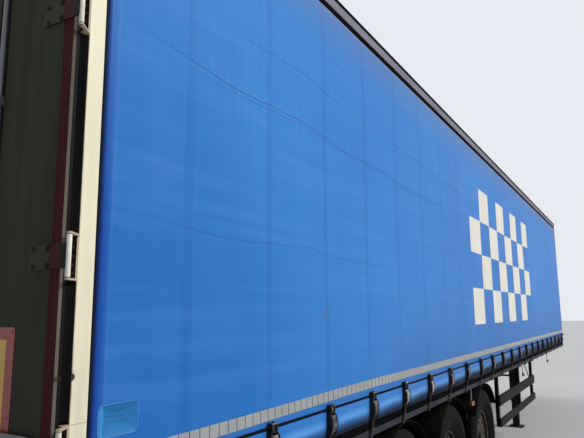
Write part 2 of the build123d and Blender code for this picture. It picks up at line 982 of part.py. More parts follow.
# Shock absorbers: from the foot on the axle up to the beam
shock_foot = wheel_centre + foot_block / 2
with BuildPart() as shock_absorbers:
    for _, number in AXLES:
        for _, side in SIDES:
            low = (axle_x(number) + shock_foot_ahead, side * shock_offset, shock_foot + shock_radius)
            high = (axle_x(number) + shock_head_ahead, side * shock_offset, beam_deep_bottom - shock_radius)
            path = Vector(*high) - Vector(*low)
            with Locations(Plane(origin=low, z_dir=path)):
                Cylinder(shock_radius, path.length, align=(Align.CENTER, Align.CENTER, Align.MIN))
            block(
                (low[0] - foot_block / 2, low[0] + foot_block / 2),
                (side * (shock_offset - foot_block / 2), side * (shock_offset + foot_block / 2)),
                (shock_foot, low[2]),
            )
            block(
                (high[0] - foot_block / 2, high[0] + foot_block / 2),
                (side * (shock_offset - foot_block / 2), side * (flange_inner + foot_block)),
                (high[2], beam_deep_bottom),
            )
save(shock_absorbers, "shock_absorbers")

# Wheels: a tyre, and a rim with its disc, hub and brake drum, made once for the left side and placed
tyre_half = tyre_width / 2
side_bulge = tyre_half - tyre_bulge
wheel_y = track / 2
with BuildPart() as left_tyre:
    with BuildSketch(Plane.XY):
        with BuildLine():
            Polyline(
                (tyre_bore, -rim_half + rim_wall),
                (rim_lip_radius + seat_play, -rim_half + rim_wall),
                (tyre_radius - tyre_wall_rise, -tyre_half),
                (tyre_radius - tyre_shoulder, -side_bulge + tyre_shoulder),
                (tyre_radius, -side_bulge + 2 * tyre_shoulder),
                (tyre_radius, side_bulge - 2 * tyre_shoulder),
                (tyre_radius - tyre_shoulder, side_bulge - tyre_shoulder),
                (tyre_radius - tyre_wall_rise, tyre_half),
                (rim_lip_radius + seat_play, rim_half - rim_wall),
                (tyre_bore, rim_half - rim_wall),
                close=True,
            )
        make_face()
    revolve(axis=Axis.Y)

# The drum's mouth faces the middle of the trailer and stays clear of the brake flange
disc_out = disc_offset
drum_mouth = axle_tube_half + brake_flange_thickness + drum_gap - wheel_y
hub_bore = spindle_radius + hub_play
hub_bore_end = spindle_end + bore_gap - wheel_y
with BuildPart() as left_rim:
    with BuildSketch(Plane.XY):
        with BuildLine():
            Polyline(
                (hub_bore, hub_bore_end),
                (hub_bore, drum_mouth + drum_floor),
                (drum_radius - drum_wall, drum_mouth + drum_floor),
                (drum_radius - drum_wall, drum_mouth),
                (drum_radius, drum_mouth),
                (drum_radius, disc_out - 2 * disc_thickness),
                (rim_radius - rim_wall - disc_dish, disc_out),
                (rim_radius - rim_wall, disc_out - disc_step),
                (rim_radius - rim_wall, -rim_half + rim_wall),
                (rim_lip_radius, -rim_half),
                (rim_lip_radius, -rim_half + rim_wall - seat_play),
                (rim_radius, -rim_half + rim_wall - seat_play),
                (rim_radius, rim_half - rim_wall + seat_play),
                (rim_lip_radius, rim_half - rim_wall + seat_play),
                (rim_lip_radius, rim_half),
                (rim_radius - rim_wall, rim_half - rim_wall),
                (rim_radius - rim_wall, disc_out),
                (rim_radius - rim_wall - disc_step, disc_out + disc_thickness),
                (hub_radius, disc_out),
                (hub_radius - hub_step, disc_out + disc_step),
                (hub_cap_radius, disc_out + disc_step),
                (hub_cap_radius, hub_cap_out),
                (0, hub_cap_out),
                (0, hub_bore_end),
                close=True,
            )
        make_face()
    revolve(axis=Axis.Y)
    with BuildSketch(Plane.XZ.offset(-(disc_out - 2 * disc_thickness))):
        with PolarLocations(hand_hole_circle, hand_hole_count):
            RegularPolygon(hand_hole_radius, hand_hole_sides)
    extrude(amount=-(2 * disc_thickness + disc_step), mode=Mode.SUBTRACT)
for axle_name, number in AXLES:
    for name, side in SIDES:
        place = Location((axle_x(number), side * wheel_y, wheel_centre), (0, 0, 0 if side > 0 else 180))
        for piece, kind in ((left_tyre, "tyre"), (left_rim, "rim")):
            with BuildPart() as wheel_piece:
                with Locations(place):
                    add(piece.part)
            save(wheel_piece, f"{kind}_{axle_name}_{name}")

# Mudguards: an arched shell over each wheel, on two stays from the beam
guard_out = post_inner
guard_wide = guard_out - (wheel_y - guard_width / 2)
guard_reach = 2 * guard_radius
guard_cut_x = guard_reach * sin(radians(guard_half_angle))
guard_cut_z = guard_reach * cos(radians(guard_half_angle))
stay_circle = guard_radius + guard_thickness / 2 - stay_radius
with BuildPart() as mudguards:
    for _, number in AXLES:
        x = axle_x(number)
        for _, side in SIDES:
            with BuildSketch(Plane.XZ.offset(-side * guard_out)):
                with Locations((x, wheel_centre)):
                    Circle(guard_radius + guard_thickness)
                    Circle(guard_radius, mode=Mode.SUBTRACT)
                with BuildLine():
                    Polyline(
                        (x, wheel_centre),
                        (x - guard_cut_x, wheel_centre + guard_cut_z),
                        (x - guard_cut_x, wheel_centre + guard_reach),
                        (x + guard_cut_x, wheel_centre + guard_reach),
                        (x + guard_cut_x, wheel_centre + guard_cut_z),
                        close=True,
                    )
                make_face(mode=Mode.INTERSECT)
            extrude(amount=side * guard_wide)
            for lean in (-1, 1):
                stay_x = x + lean * stay_circle * sin(radians(stay_angle))
                stay_z = wheel_centre + stay_circle * cos(radians(stay_angle))
                with BuildSketch(Plane.XZ.offset(-side * outer_start)):
                    with Locations((stay_x, stay_z)):
                        Circle(stay_radius)
                extrude(amount=-side * (guard_out - outer_start))
save(mudguards, "mudguards")

# Landing legs: outer tube on a bracket at the beam, inner tube and foot
with BuildPart() as landing_legs:
    for _, side in SIDES:
        x, y = at(leg_place), side * leg_offset
        block(
            (x - leg_outer / 2, x + leg_outer / 2),
            (y - leg_outer / 2, y + leg_outer / 2),
            (leg_outer_bottom, leg_top),
        )
        block(
            (x - leg_inner / 2, x + leg_inner / 2),
            (y - leg_inner / 2, y + leg_inner / 2),
            (foot_thickness, leg_outer_bottom),
        )
        block(
            (x - foot_length / 2, x + foot_length / 2),
            (y - foot_width / 2, y + foot_width / 2),
            (0, foot_thickness),
        )
        block(
            (x - leg_bracket_length / 2, x + leg_bracket_length / 2),
            (side * outer_start, side * (leg_offset - leg_outer / 2)),
            (leg_bracket_bottom, leg_bracket_top),
        )
save(landing_legs, "landing_legs")

# Landing gear drive: cross shaft, and on the left leg the gearbox with its folded crank
leg_face = leg_offset + leg_outer / 2
with BuildPart() as landing_gear_drive:
    shaft_half = leg_offset - leg_outer / 2
    with BuildSketch(Plane.XZ.offset(-shaft_half)):
        with Locations((at(leg_place), shaft_height)):
            Circle(shaft_radius)
    extrude(amount=2 * shaft_half)
    block(
        (at(leg_place - gearbox_length / 2), at(leg_place + gearbox_length / 2)),
        (leg_face, leg_face + gearbox_depth),
        (shaft_height - gearbox_height / 2, shaft_height + gearbox_height / 2),
    )
    crank_y = leg_face + gearbox_depth + crank_reach
    with BuildSketch(Plane.XZ.offset(-crank_y)):
        with Locations((at(leg_place), shaft_height)):
            Circle(crank_radius)
    extrude(amount=crank_reach)
    block(
        (at(leg_place) - crank_radius, at(leg_place) + crank_radius),
        (crank_y - 2 * crank_radius, crank_y),
        (shaft_height - crank_drop, shaft_height),
    )
save(landing_gear_drive, "landing_gear_drive")

# Side guards: two planks on posts from the rave, with a brace at the front bay
plank_inner = plank_face - plank_thickness
post_outer = plank_inner
lowest_plank = min(bottom for bottom, _ in plank_rows)
highest_plank = max(bottom + tall for bottom, tall in plank_rows)
guard_top = rave_bottom - seat_play
for name, side in SIDES:
    with BuildPart() as side_guard:
        for bottom, tall in plank_rows:
            block(
                (at(plank_rear), at(plank_front)),
                (side * plank_inner, side * plank_face),
                (bottom, bottom + tall),
            )
        for place in guard_posts:
            block(
                (at(place - guard_post_length / 2), at(place + guard_post_length / 2)),
                (side * (post_outer - guard_post_depth), side * post_outer),
                (lowest_plank, guard_top),
            )
        for place in guard_posts + (brace_head,):
            block(
                (at(place - guard_post_length / 2), at(place + guard_post_length / 2)),
                (side * (post_outer - guard_post_depth), side * rave_face),
                (guard_top - guard_foot_thickness, guard_top),
            )
        with BuildSketch(Plane.XZ.offset(-side * (post_outer - brace_thickness))):
            with BuildLine():
                Polyline(
                    (at(brace_foot) - brace_width / 2, highest_plank - brace_width),
                    (at(brace_foot) + brace_width / 2, highest_plank - brace_width),
                    (at(brace_head) + brace_width / 2, guard_top),
                    (at(brace_head) - brace_width / 2, guard_top),
                    close=True,
                )
            make_face()
        extrude(amount=-side * brace_thickness)
    save(side_guard, f"side_guard_{name}")

# Rear underrun bar on two arms from the beams
with BuildPart() as underrun_bar:
    xs = (at(underrun_rear), at(underrun_rear + underrun_depth))
    block(xs, (-underrun_half, underrun_half), (underrun_bottom, underrun_bottom + underrun_height))
    fillet(underrun_bar.edges().filter_by(Axis.Y), underrun_round)
    for _, side in SIDES:
        y = side * beam_offset
        ys = (y - underrun_arm / 2, y + underrun_arm / 2)
        block(xs, ys, (underrun_bottom + underrun_height, beam_tail_bottom))
save(underrun_bar, "underrun_bar")

# Rear lamps on their boards
with BuildPart() as rear_lamps:
    for _, side in SIDES:
        block(
            (at(lamp_rear), at(lamp_front)),
            (side * lamp_inner, side * lamp_outer),
            (lamp_bottom, lamp_bottom + lamp_height),
        )
    fillet(rear_lamps.edges().group_by(Axis.X)[0], lamp_round)
save(rear_lamps, "rear_lamps")

# Rubber buffers on the sill
with BuildPart() as rear_buffers:
    for _, side in SIDES:
        block(
            (at(-buffer_reach), at(0)),
            (side * buffer_inner, side * (buffer_inner + buffer_width)),
            (buffer_bottom, buffer_bottom + buffer_height),
        )
    fillet(rear_buffers.edges().filter_by(Axis.Y).group_by(Axis.X)[0], buffer_round)
save(rear_buffers, "rear_buffers")

# Side marker lamps on short arms under the raves
with BuildPart() as marker_lamps:
    for place in marker_places:
        for _, side in SIDES:
            block(
                (at(place - marker_length / 2), at(place + marker_length / 2)),
                (side * (rave_face - marker_thickness), side * rave_face),
                (marker_bottom, marker_bottom + marker_height),
            )
            block(
                (at(place - marker_height / 2), at(place + marker_height / 2)),
                (side * (rave_face - marker_thickness), side * (rave_face - marker_thickness + marker_arm)),
                (marker_bottom + marker_height, rave_bottom),
            )
save(marker_lamps, "marker_lamps")

# Coupling plate under the neck, with the kingpin
plate_bottom = beam_neck_bottom - coupling_plate
with BuildPart() as coupling_skid:
    block(
        (at(kingpin_place) - coupling_length / 2, at(kingpin_place) + coupling_length / 2),
        (-coupling_half_width, coupling_half_width),
        (plate_bottom, beam_neck_bottom),
    )
save(coupling_skid, "coupling_plate")

neck_top = plate_bottom - pin_boss_height
flange_top = neck_top - pin_neck_height
with BuildPart() as kingpin:
    with Locations((at(kingpin_place), 0, plate_bottom)):
        Cylinder(pin_boss_radius, pin_boss_height, align=(Align.CENTER, Align.CENTER, Align.MAX))
    with Locations((at(kingpin_place), 0, neck_top)):
        Cylinder(pin_neck_radius, pin_neck_height, align=(Align.CENTER, Align.CENTER, Align.MAX))
    with Locations((at(kingpin_place), 0, flange_top)):
        Cylinder(pin_flange_radius, pin_flange_height, align=(Align.CENTER, Align.CENTER, Align.MAX))
save(kingpin, "kingpin")

# Air tanks between the beams, hung from the cross members
with BuildPart() as air_tanks:
    for _, side in SIDES:
        with BuildSketch(Plane.XY.offset(tank_height)):
            with BuildLine():
                y = side * tank_offset
                Polyline(
                    (at(tank_rear), y),
                    (at(tank_rear), y + tank_radius - tank_dome),
                    (at(tank_rear + tank_dome), y + tank_radius),
                    (at(tank_rear + tank_length - tank_dome), y + tank_radius),
                    (at(tank_rear + tank_length), y + tank_radius - tank_dome),
                    (at(tank_rear + tank_length), y),
                    close=True,
                )
            make_face()
        revolve(axis=Axis((0, side * tank_offset, tank_height), (1, 0, 0)))
        for place in tank_hangers:
            block(
                (at(place - tank_hanger_length / 2), at(place + tank_hanger_length / 2)),
                (y - tank_hanger_width / 2, y + tank_hanger_width / 2),
                (tank_height + tank_radius - tank_dome, member_bottom),
            )
save(air_tanks, "air_tanks")

# Couplings for air and electricity on a board at the foot of the front wall
with BuildPart() as front_couplings:
    block(
        (at(front_wall_front), at(front_wall_front + coupling_board_thickness)),
        (-coupling_board_half, coupling_board_half),
        (coupling_board_bottom, beam_neck_bottom + coupling_radius),
    )
    socket_z = coupling_board_bottom + coupling_rise
    with BuildSketch(Plane.YZ.offset(at(front_wall_front + coupling_board_thickness))):
        with Locations(*[(y, socket_z) for y in coupling_places]):
            Circle(coupling_radius)
    extrude(amount=coupling_reach - coupling_board_thickness)
save(front_couplings, "front_couplings")

# Doors, with channels for the lock rods, hinge straps and the rods with their guides and handle
rod_x = at(-rod_out)
door_rear = at(0)
for name, side in SIDES:
    rod_ys = [side * (pivot_y - place) for place in rod_places]
    with BuildPart() as door:
        block(
            (door_rear, at(door_thickness)),
            (side * door_gap_middle / 2, side * post_face),
            (door_bottom, door_top),
        )
        for y in rod_ys:
            block(
                (door_rear, at(channel_depth)),
                (y - channel_width / 2, y + channel_width / 2),
                (door_bottom, door_top),
                mode=Mode.SUBTRACT,
            )
    save(door, f"door_{name}")

    with BuildPart() as hinge_straps:
        for z in hinge_heights:
            block(
                (at(-hinge_leaf), at(0)),
                (side * (post_face - hinge_leaf_reach), side * pivot_y),
                (z - hinge_leaf_height / 2, z + hinge_leaf_height / 2),
            )
            with Locations((at(pivot_ahead), side * pivot_y, z)):
                Cylinder(barrel_radius, 2 * barrel_half)
        for z in hinge_heights:
            with Locations((at(pivot_ahead), side * pivot_y, z)):
                Cylinder(pin_radius + pin_play, 2 * barrel_half, mode=Mode.SUBTRACT)
    save(hinge_straps, f"hinge_straps_{name}")

    rod_bottom = door_bottom + rod_end_gap
    rod_length = door_top - door_bottom - 2 * rod_end_gap
    with BuildPart() as lock_rods:
        for y in rod_ys:
            with Locations((rod_x, y, rod_bottom)):
                Cylinder(rod_radius, rod_length, align=(Align.CENTER, Align.CENTER, Align.MIN))
            for z in guide_heights:
                block(
                    (at(-guide_out), at(channel_depth)),
                    (y - guide_width / 2, y + guide_width / 2),
                    (z - guide_height / 2, z + guide_height / 2),
                )
        for y in rod_ys:
            block(
                (at(-handle_out), at(-handle_out + handle_thickness)),
                (y, y + side * handle_length),
                (handle_height - handle_width / 2, handle_height + handle_width / 2),
            )
            block(
                (at(-handle_out), rod_x),
                (y - handle_width / 2, y + handle_width / 2),
                (handle_height - handle_width, handle_height + handle_width),
            )
    save(lock_rods, f"lock_rods_{name}")

# Hinge brackets on the rear faces of the posts: a plate, the pin, and two arms that reach round the door's edge
with BuildPart() as hinge_brackets:
    for _, side in SIDES:
        arm_outline = [
            (at(pivot_ahead), side * (pivot_y + barrel_radius)),
            (at(post_rear), side * (post_face + bracket_lip)),
            (at(post_rear), side * post_inner),
            (at(post_rear - bracket_plate), side * post_inner),
            (at(bracket_bend), side * bracket_shoulder),
            (at(bracket_bend), side * bracket_elbow),
            (at(pivot_ahead), side * (pivot_y - barrel_radius)),
        ]
        for z in hinge_heights:
            for arm_bottom in (z - bracket_half, z + bracket_half - bracket_arm):
                with BuildSketch(Plane.XY.offset(arm_bottom)):
                    with Locations((at(pivot_ahead), side * pivot_y)):
                        Circle(barrel_radius)
                    with BuildLine():
                        Polyline(*arm_outline, close=True)
                    make_face()
                extrude(amount=bracket_arm)
            block(
                (at(post_rear - bracket_plate), at(post_rear)),
                (side * post_inner, side * post_face),
                (z - bracket_half, z + bracket_half),
            )
            with Locations((at(pivot_ahead), side * pivot_y, z)):
                Cylinder(pin_radius, 2 * bracket_half)
save(hinge_brackets, "hinge_brackets")
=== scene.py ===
# %% [markdown]
# # A parked semi trailer with side curtains
# The steel and timber of this trailer come ready made, as a fixed frame of solids. Blender gives each of
# them its finish, and adds what is soft, small or worn: the curtains, the buckles, the seals, the treads,
# the bolts. Everything is in metres. +X points forward, +Y to the left, +Z up, and the ground is at zero.

# %% Load the frame
from itertools import product
from math import cos, pi, radians, sin, sqrt

import bmesh
import bpy
from mathutils import Matrix, Vector, noise


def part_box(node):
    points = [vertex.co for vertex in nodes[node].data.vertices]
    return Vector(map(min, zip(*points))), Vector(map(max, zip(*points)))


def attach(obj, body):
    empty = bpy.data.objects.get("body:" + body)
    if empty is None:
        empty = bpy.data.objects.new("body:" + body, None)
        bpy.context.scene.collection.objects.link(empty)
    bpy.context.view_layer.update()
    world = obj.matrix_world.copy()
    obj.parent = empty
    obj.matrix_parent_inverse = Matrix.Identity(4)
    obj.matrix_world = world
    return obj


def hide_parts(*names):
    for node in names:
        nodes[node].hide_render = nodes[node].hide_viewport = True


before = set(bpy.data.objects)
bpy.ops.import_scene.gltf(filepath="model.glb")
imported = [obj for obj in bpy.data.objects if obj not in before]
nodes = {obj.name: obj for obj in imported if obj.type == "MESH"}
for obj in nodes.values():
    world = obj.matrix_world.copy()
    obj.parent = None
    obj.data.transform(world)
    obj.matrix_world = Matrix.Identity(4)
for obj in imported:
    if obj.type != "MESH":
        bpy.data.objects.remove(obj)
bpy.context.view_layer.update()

# %% [markdown]
# Every place below is worked out from the frame. Lengths along the trailer are counted from the rear face
# of the doors, as a coachbuilder counts them, and `along` turns such a length into X. The numbers could
# be typed in as X, Y and Z, but then nothing would follow when the trailer gets longer.

# %% Places taken from the frame
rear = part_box("door_right")[0].x
curtain_low, curtain_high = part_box("curtain_right")
half_width = -curtain_low.y
post_low, post_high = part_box("rear_posts")
post_face = post_high.y
rave_low, rave_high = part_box("side_raves")
strap_low, strap_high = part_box("straps_right")
cable_low, cable_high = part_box("customs_cables")
strap_count = 22
strap_half = 0.033
strap_first = strap_low.x + strap_half
strap_pitch = (strap_high.x - strap_low.x - 2 * strap_half) / (strap_count - 1)
strap_places = [strap_first + n * strap_pitch for n in range(strap_count)]
cable_height = (cable_low.z + cable_high.z) / 2
marker_lens_height = 0.0425
marker_arm_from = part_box("marker_lamps")[0].z + marker_lens_height
hinge_heights = (1.530, 2.120, 2.960, 3.700)
pin_from_doors, pin_out, pin_radius = 0.003, 1.300, 0.0088
SIDES = (("left", 1), ("right", -1))
AXLES = ("rear", "middle", "front")


def along(from_doors):
    """X of a place so many metres ahead of the doors' rear face."""
    return rear + from_doors


print("doors at", round(rear, 3), "half width", round(half_width, 3), "strap pitch", round(strap_pitch, 3))

# %% [markdown]
# The view is from close to the rear right corner, at an eye height of about two metres, looking forward
# along the curtain and a little upward. A camera can be aimed by a tracking constraint too. Three angles
# say the same and can be nudged one at a time.

# %% Camera
camera_place = Vector((along(-1.169), -2.798, 1.939))
yaw, pitch, roll = radians(30.615), radians(9.289), radians(-0.426)
ahead = Vector((cos(yaw) * cos(pitch), sin(yaw) * cos(pitch), sin(pitch)))
level_right = Vector((sin(yaw), -cos(yaw), 0))
level_up = level_right.cross(ahead)
camera_right = cos(roll) * level_right + sin(roll) * level_up
camera_up = cos(roll) * level_up - sin(roll) * level_right
camera_data = bpy.data.cameras.new("camera")
camera_data.lens = 35.42
camera_data.sensor_width = 36
camera_data.clip_end = 300
camera = bpy.data.objects.new("camera", camera_data)
axes = Matrix((camera_right, camera_up, -ahead)).transposed().to_4x4()
camera.matrix_world = Matrix.Translation(camera_place) @ axes
bpy.context.scene.collection.objects.link(camera)
bpy.context.scene.camera = camera
bpy.context.scene.view_settings.view_transform = "Standard"
print("camera at", [round(c, 3) for c in camera_place])

# %% [markdown]
# A shader is easiest to read as sums. Its nodes could be made and linked one by one, but twenty lines of
# links hide one line of thought. So `Flow` wraps one socket of a material, and Python's own operators on
# it add the Math nodes.


# %% Sockets that add up like numbers
class Flow:
    """One output socket of a material. Python's operators on it add Math nodes."""

    def __init__(self, finish, socket):
        self.finish = finish
        self.socket = socket

    def math(self, operation, *others):
        values = dict(enumerate((self, *others)))
        return self.finish.node("ShaderNodeMath", {"operation": operation}, values)

    def __add__(self, other):
        return self.math("ADD", other)

    __radd__ = __add__

    def __sub__(self, other):
        return self.math("SUBTRACT", other)

    def __rsub__(self, other):
        return self.finish.node("ShaderNodeMath", {"operation": "SUBTRACT"}, {0: other, 1: self})

    def __mul__(self, other):
        return self.math("MULTIPLY", other)

    __rmul__ = __mul__

    def __truediv__(self, other):
        return self.math("DIVIDE", other)

    def __pow__(self, other):
        return self.math("POWER", other)

    def __abs__(self):
        return self.math("ABSOLUTE")

    def above(self, limit):
        return self.math("GREATER_THAN", limit)

    def clamp(self):
        return self.finish.node("ShaderNodeClamp", {}, {0: self})

    def repeat(self, length):
        """The distance to the nearest of many places, each one length from the next."""
        return self.math("PINGPONG", length / 2)

    def sine(self):
        return self.math("SINE")


print("reflected forms", [name for name in vars(Flow) if name.startswith("__r") and name != "__repr__"])

# %% [markdown]
# A finish is what a painter would call one coat: colour, gloss and grain together. `Finish` builds it
# round one Principled shader. One method, `node`, makes every kind of node, and the others are short
# names for the few that return again and again. Places come in the trailer's own metres, so a mark can be
# put at its real height.


# %% Finishes under construction
class Finish:
    """A material that is being put together round one Principled shader."""

    def __init__(self, name, **fixed):
        self.material = bpy.data.materials.new(name)
        self.material.use_nodes = True
        self.tree = self.material.node_tree
        self.shader = self.tree.nodes["Principled BSDF"]
        for socket, value in fixed.items():
            self.shader.inputs[socket.replace("_", " ")].default_value = value
        self.place = self.node("ShaderNodeTexCoord", {}, {}, "Object")
        split = self.node("ShaderNodeSeparateXYZ", {}, {0: self.place})
        self.x, self.y, self.z = (Flow(self, s) for s in split.socket.node.outputs)
        facing = self.node("ShaderNodeNewGeometry", {}, {}, "Normal")
        turned = self.node("ShaderNodeSeparateXYZ", {}, {0: facing})
        self.face_x, self.face_y, self.face_z = (Flow(self, s) for s in turned.socket.node.outputs)

    def node(self, kind, settings, sockets, out=0):
        made = self.tree.nodes.new(kind)
        for setting, value in settings.items():
            setattr(made, setting, value)
        for socket, value in sockets.items():
            if isinstance(value, Flow):
                self.tree.links.new(value.socket, made.inputs[socket])
            else:
                made.inputs[socket].default_value = value
        return Flow(self, made.outputs[out])

    def noise(self, scale, detail=3.0, stretch=(1, 1, 1), shift=(0, 0, 0), rough=0.5):
        """Cloudy noise from 0 to 1 in the trailer's own metres, stretched along some axes."""
        moved = self.node("ShaderNodeMapping", {}, {0: self.place, "Location": shift, "Scale": stretch})
        sockets = {"Vector": moved, "Scale": scale, "Detail": detail, "Roughness": rough}
        return self.node("ShaderNodeTexNoise", {}, sockets)

    def ramp(self, value, low, high):
        """0 below low, 1 above high, and straight between them."""
        sockets = {"Value": value, "From Min": low, "From Max": high}
        return self.node("ShaderNodeMapRange", {"clamp": True}, sockets)

    def near(self, value, centre, reach):
        """1 where value is at centre, falling to 0 at reach on both sides."""
        return (1 - abs(value - centre) / reach).clamp()

    def mix(self, factor, first, second):
        """A colour between two colours."""
        settings = {"data_type": "RGBA"}
        return self.node("ShaderNodeMix", settings, {"Factor": factor, 6: first, 7: second}, 2)

    def bump(self, height, distance, strength):
        """A relief: distance is how high a height of one stands, in metres."""
        sockets = {"Height": height, "Distance": distance, "Strength": strength}
        return self.node("ShaderNodeBump", {}, sockets)

    def give(self, **links):
        """Puts values or flows into the shader's sockets, and hands over the material."""
        for socket, value in links.items():
            target = self.shader.inputs[socket.replace("_", " ")]
            if isinstance(value, Flow):
                self.tree.links.new(value.socket, target)
            else:
                target.default_value = value
        return self.material

# %% [markdown]
# A colour chart gives 0 to 255, but a shader counts light, in which half as bright is not half the
# number. The colour picker makes that change by itself. In a script it takes one formula.


# %% Colours
def paint(red, green, blue):
    """A colour as a designer writes it, 0 to 255, in the straight light values that a shader takes."""
    parts = [c / 255 for c in (red, green, blue)]
    return tuple(c / 12.92 if c <= 0.04045 else ((c + 0.055) / 1.055) ** 2.4 for c in parts) + (1.0,)


print("mid grey as light", round(paint(128, 128, 128)[0], 3))

# %% [markdown]
# The studio is a wide pale floor and a pale surround. The surround shows its full paleness to the camera
# and in reflections. As light it is gentler, and weaker from behind the trailer than from its sides, so
# that the doors stand in soft shade while a broad sun from the right lights the curtain. A picture of a
# sky could light it too, but needs a file and brings colours of its own.


# %% Surround
shade_light = (0.10, 0.105, 0.115, 1)
open_light = (0.46, 0.48, 0.52, 1)
shown_tone = (0.80, 0.835, 0.88, 1)
world = bpy.data.worlds.new("studio")
bpy.context.scene.world = world
world.use_nodes = True
world_tree = world.node_tree
backdrop = world_tree.nodes["Background"]


def world_node(kind, settings, sockets):
    made = world_tree.nodes.new(kind)
    for setting, value in settings.items():
        setattr(made, setting, value)
    for socket, value in sockets.items():
        if isinstance(value, bpy.types.NodeSocket):
            world_tree.links.new(value, made.inputs[socket])
        else:
            made.inputs[socket].default_value = value
    return made.outputs


path = world_node("ShaderNodeLightPath", {}, {})
larger = {"operation": "MAXIMUM"}
seen = world_node("ShaderNodeMath", larger, {0: path["Is Camera Ray"], 1: path["Is Glossy Ray"]})
seen = world_node("ShaderNodeMath", larger, {0: seen[0], 1: path["Is Transmission Ray"]})
heading = world_node("ShaderNodeTexCoord", {}, {})["Generated"]
heading = world_node("ShaderNodeSeparateXYZ", {}, {0: heading})
from_rear = {"Value": heading["X"], "From Min": -0.9, "From Max": 0.1, "To Min": 0.0, "To Max": 1.0}
from_rear = world_node("ShaderNodeMapRange", {"clamp": True}, from_rear)
light_tones = {"Factor": from_rear[0], 6: shade_light, 7: open_light}
light_tones = world_node("ShaderNodeMix", {"data_type": "RGBA"}, light_tones)
shown_tones = {"Factor": seen[0], 6: light_tones[2], 7: shown_tone}
shown_tones = world_node("ShaderNodeMix", {"data_type": "RGBA"}, shown_tones)
world_tree.links.new(shown_tones[2], backdrop.inputs["Color"])
print("surround nodes", len(world_tree.nodes))

# %% [markdown]
# Two suns do the rest: a key from the right and a weak fill from the left. Both have a wide disc, so that
# their shadows fade softly, as under thin cloud. The floor is one square with a faint cloudy tone. Area
# lamps would fall off along a thing this long; a sun lights both ends alike.


# %% Suns and floor
def soft_sun(name, strength, spread, heading, colour):
    """A sun whose light travels along heading, with a soft edge to its shadows."""
    light = bpy.data.lights.new(name, "SUN")
    light.energy = strength
    light.angle = radians(spread)
    light.color = colour
    lamp = bpy.data.objects.new(name, light)
    lamp.rotation_mode = "QUATERNION"
    lamp.rotation_quaternion = Vector(heading).to_track_quat("-Z", "Y")
    bpy.context.scene.collection.objects.link(lamp)


soft_sun("key_sun", 2.6, 22, (-0.30, 0.72, -0.62), (1.0, 0.98, 0.95))
soft_sun("fill_sun", 0.7, 50, (-0.30, -0.70, -0.64), (0.93, 0.96, 1.0))
floor_finish = Finish("studio_floor", Roughness=0.75)
floor_cloud = floor_finish.noise(0.6, 4)
floor_colour = floor_finish.mix(floor_cloud, paint(176, 177, 178), paint(190, 190, 189))
floor_mesh = bpy.data.meshes.new("studio_floor")
floor_reach = 120
floor_corners = [(a * floor_reach, b * floor_reach, 0) for a, b in ((-1, -1), (1, -1), (1, 1), (-1, 1))]
floor_mesh.from_pydata(floor_corners, [], [(0, 1, 2, 3)])
floor_mesh.materials.append(floor_finish.give(Base_Color=floor_colour))
floor = bpy.data.objects.new("studio_floor", floor_mesh)
bpy.context.scene.collection.objects.link(floor)
print("floor reaches", floor_reach, "m each way")

# %% [markdown]
# Small parts are made in mesh code. They could be built with primitives and operators, but each of those
# is one object and one call, and a trailer has thousands of bolts. `Form` collects points and faces, so
# that hundreds of bolts or segments become one joined mesh, which a trailer builder would call a kit.


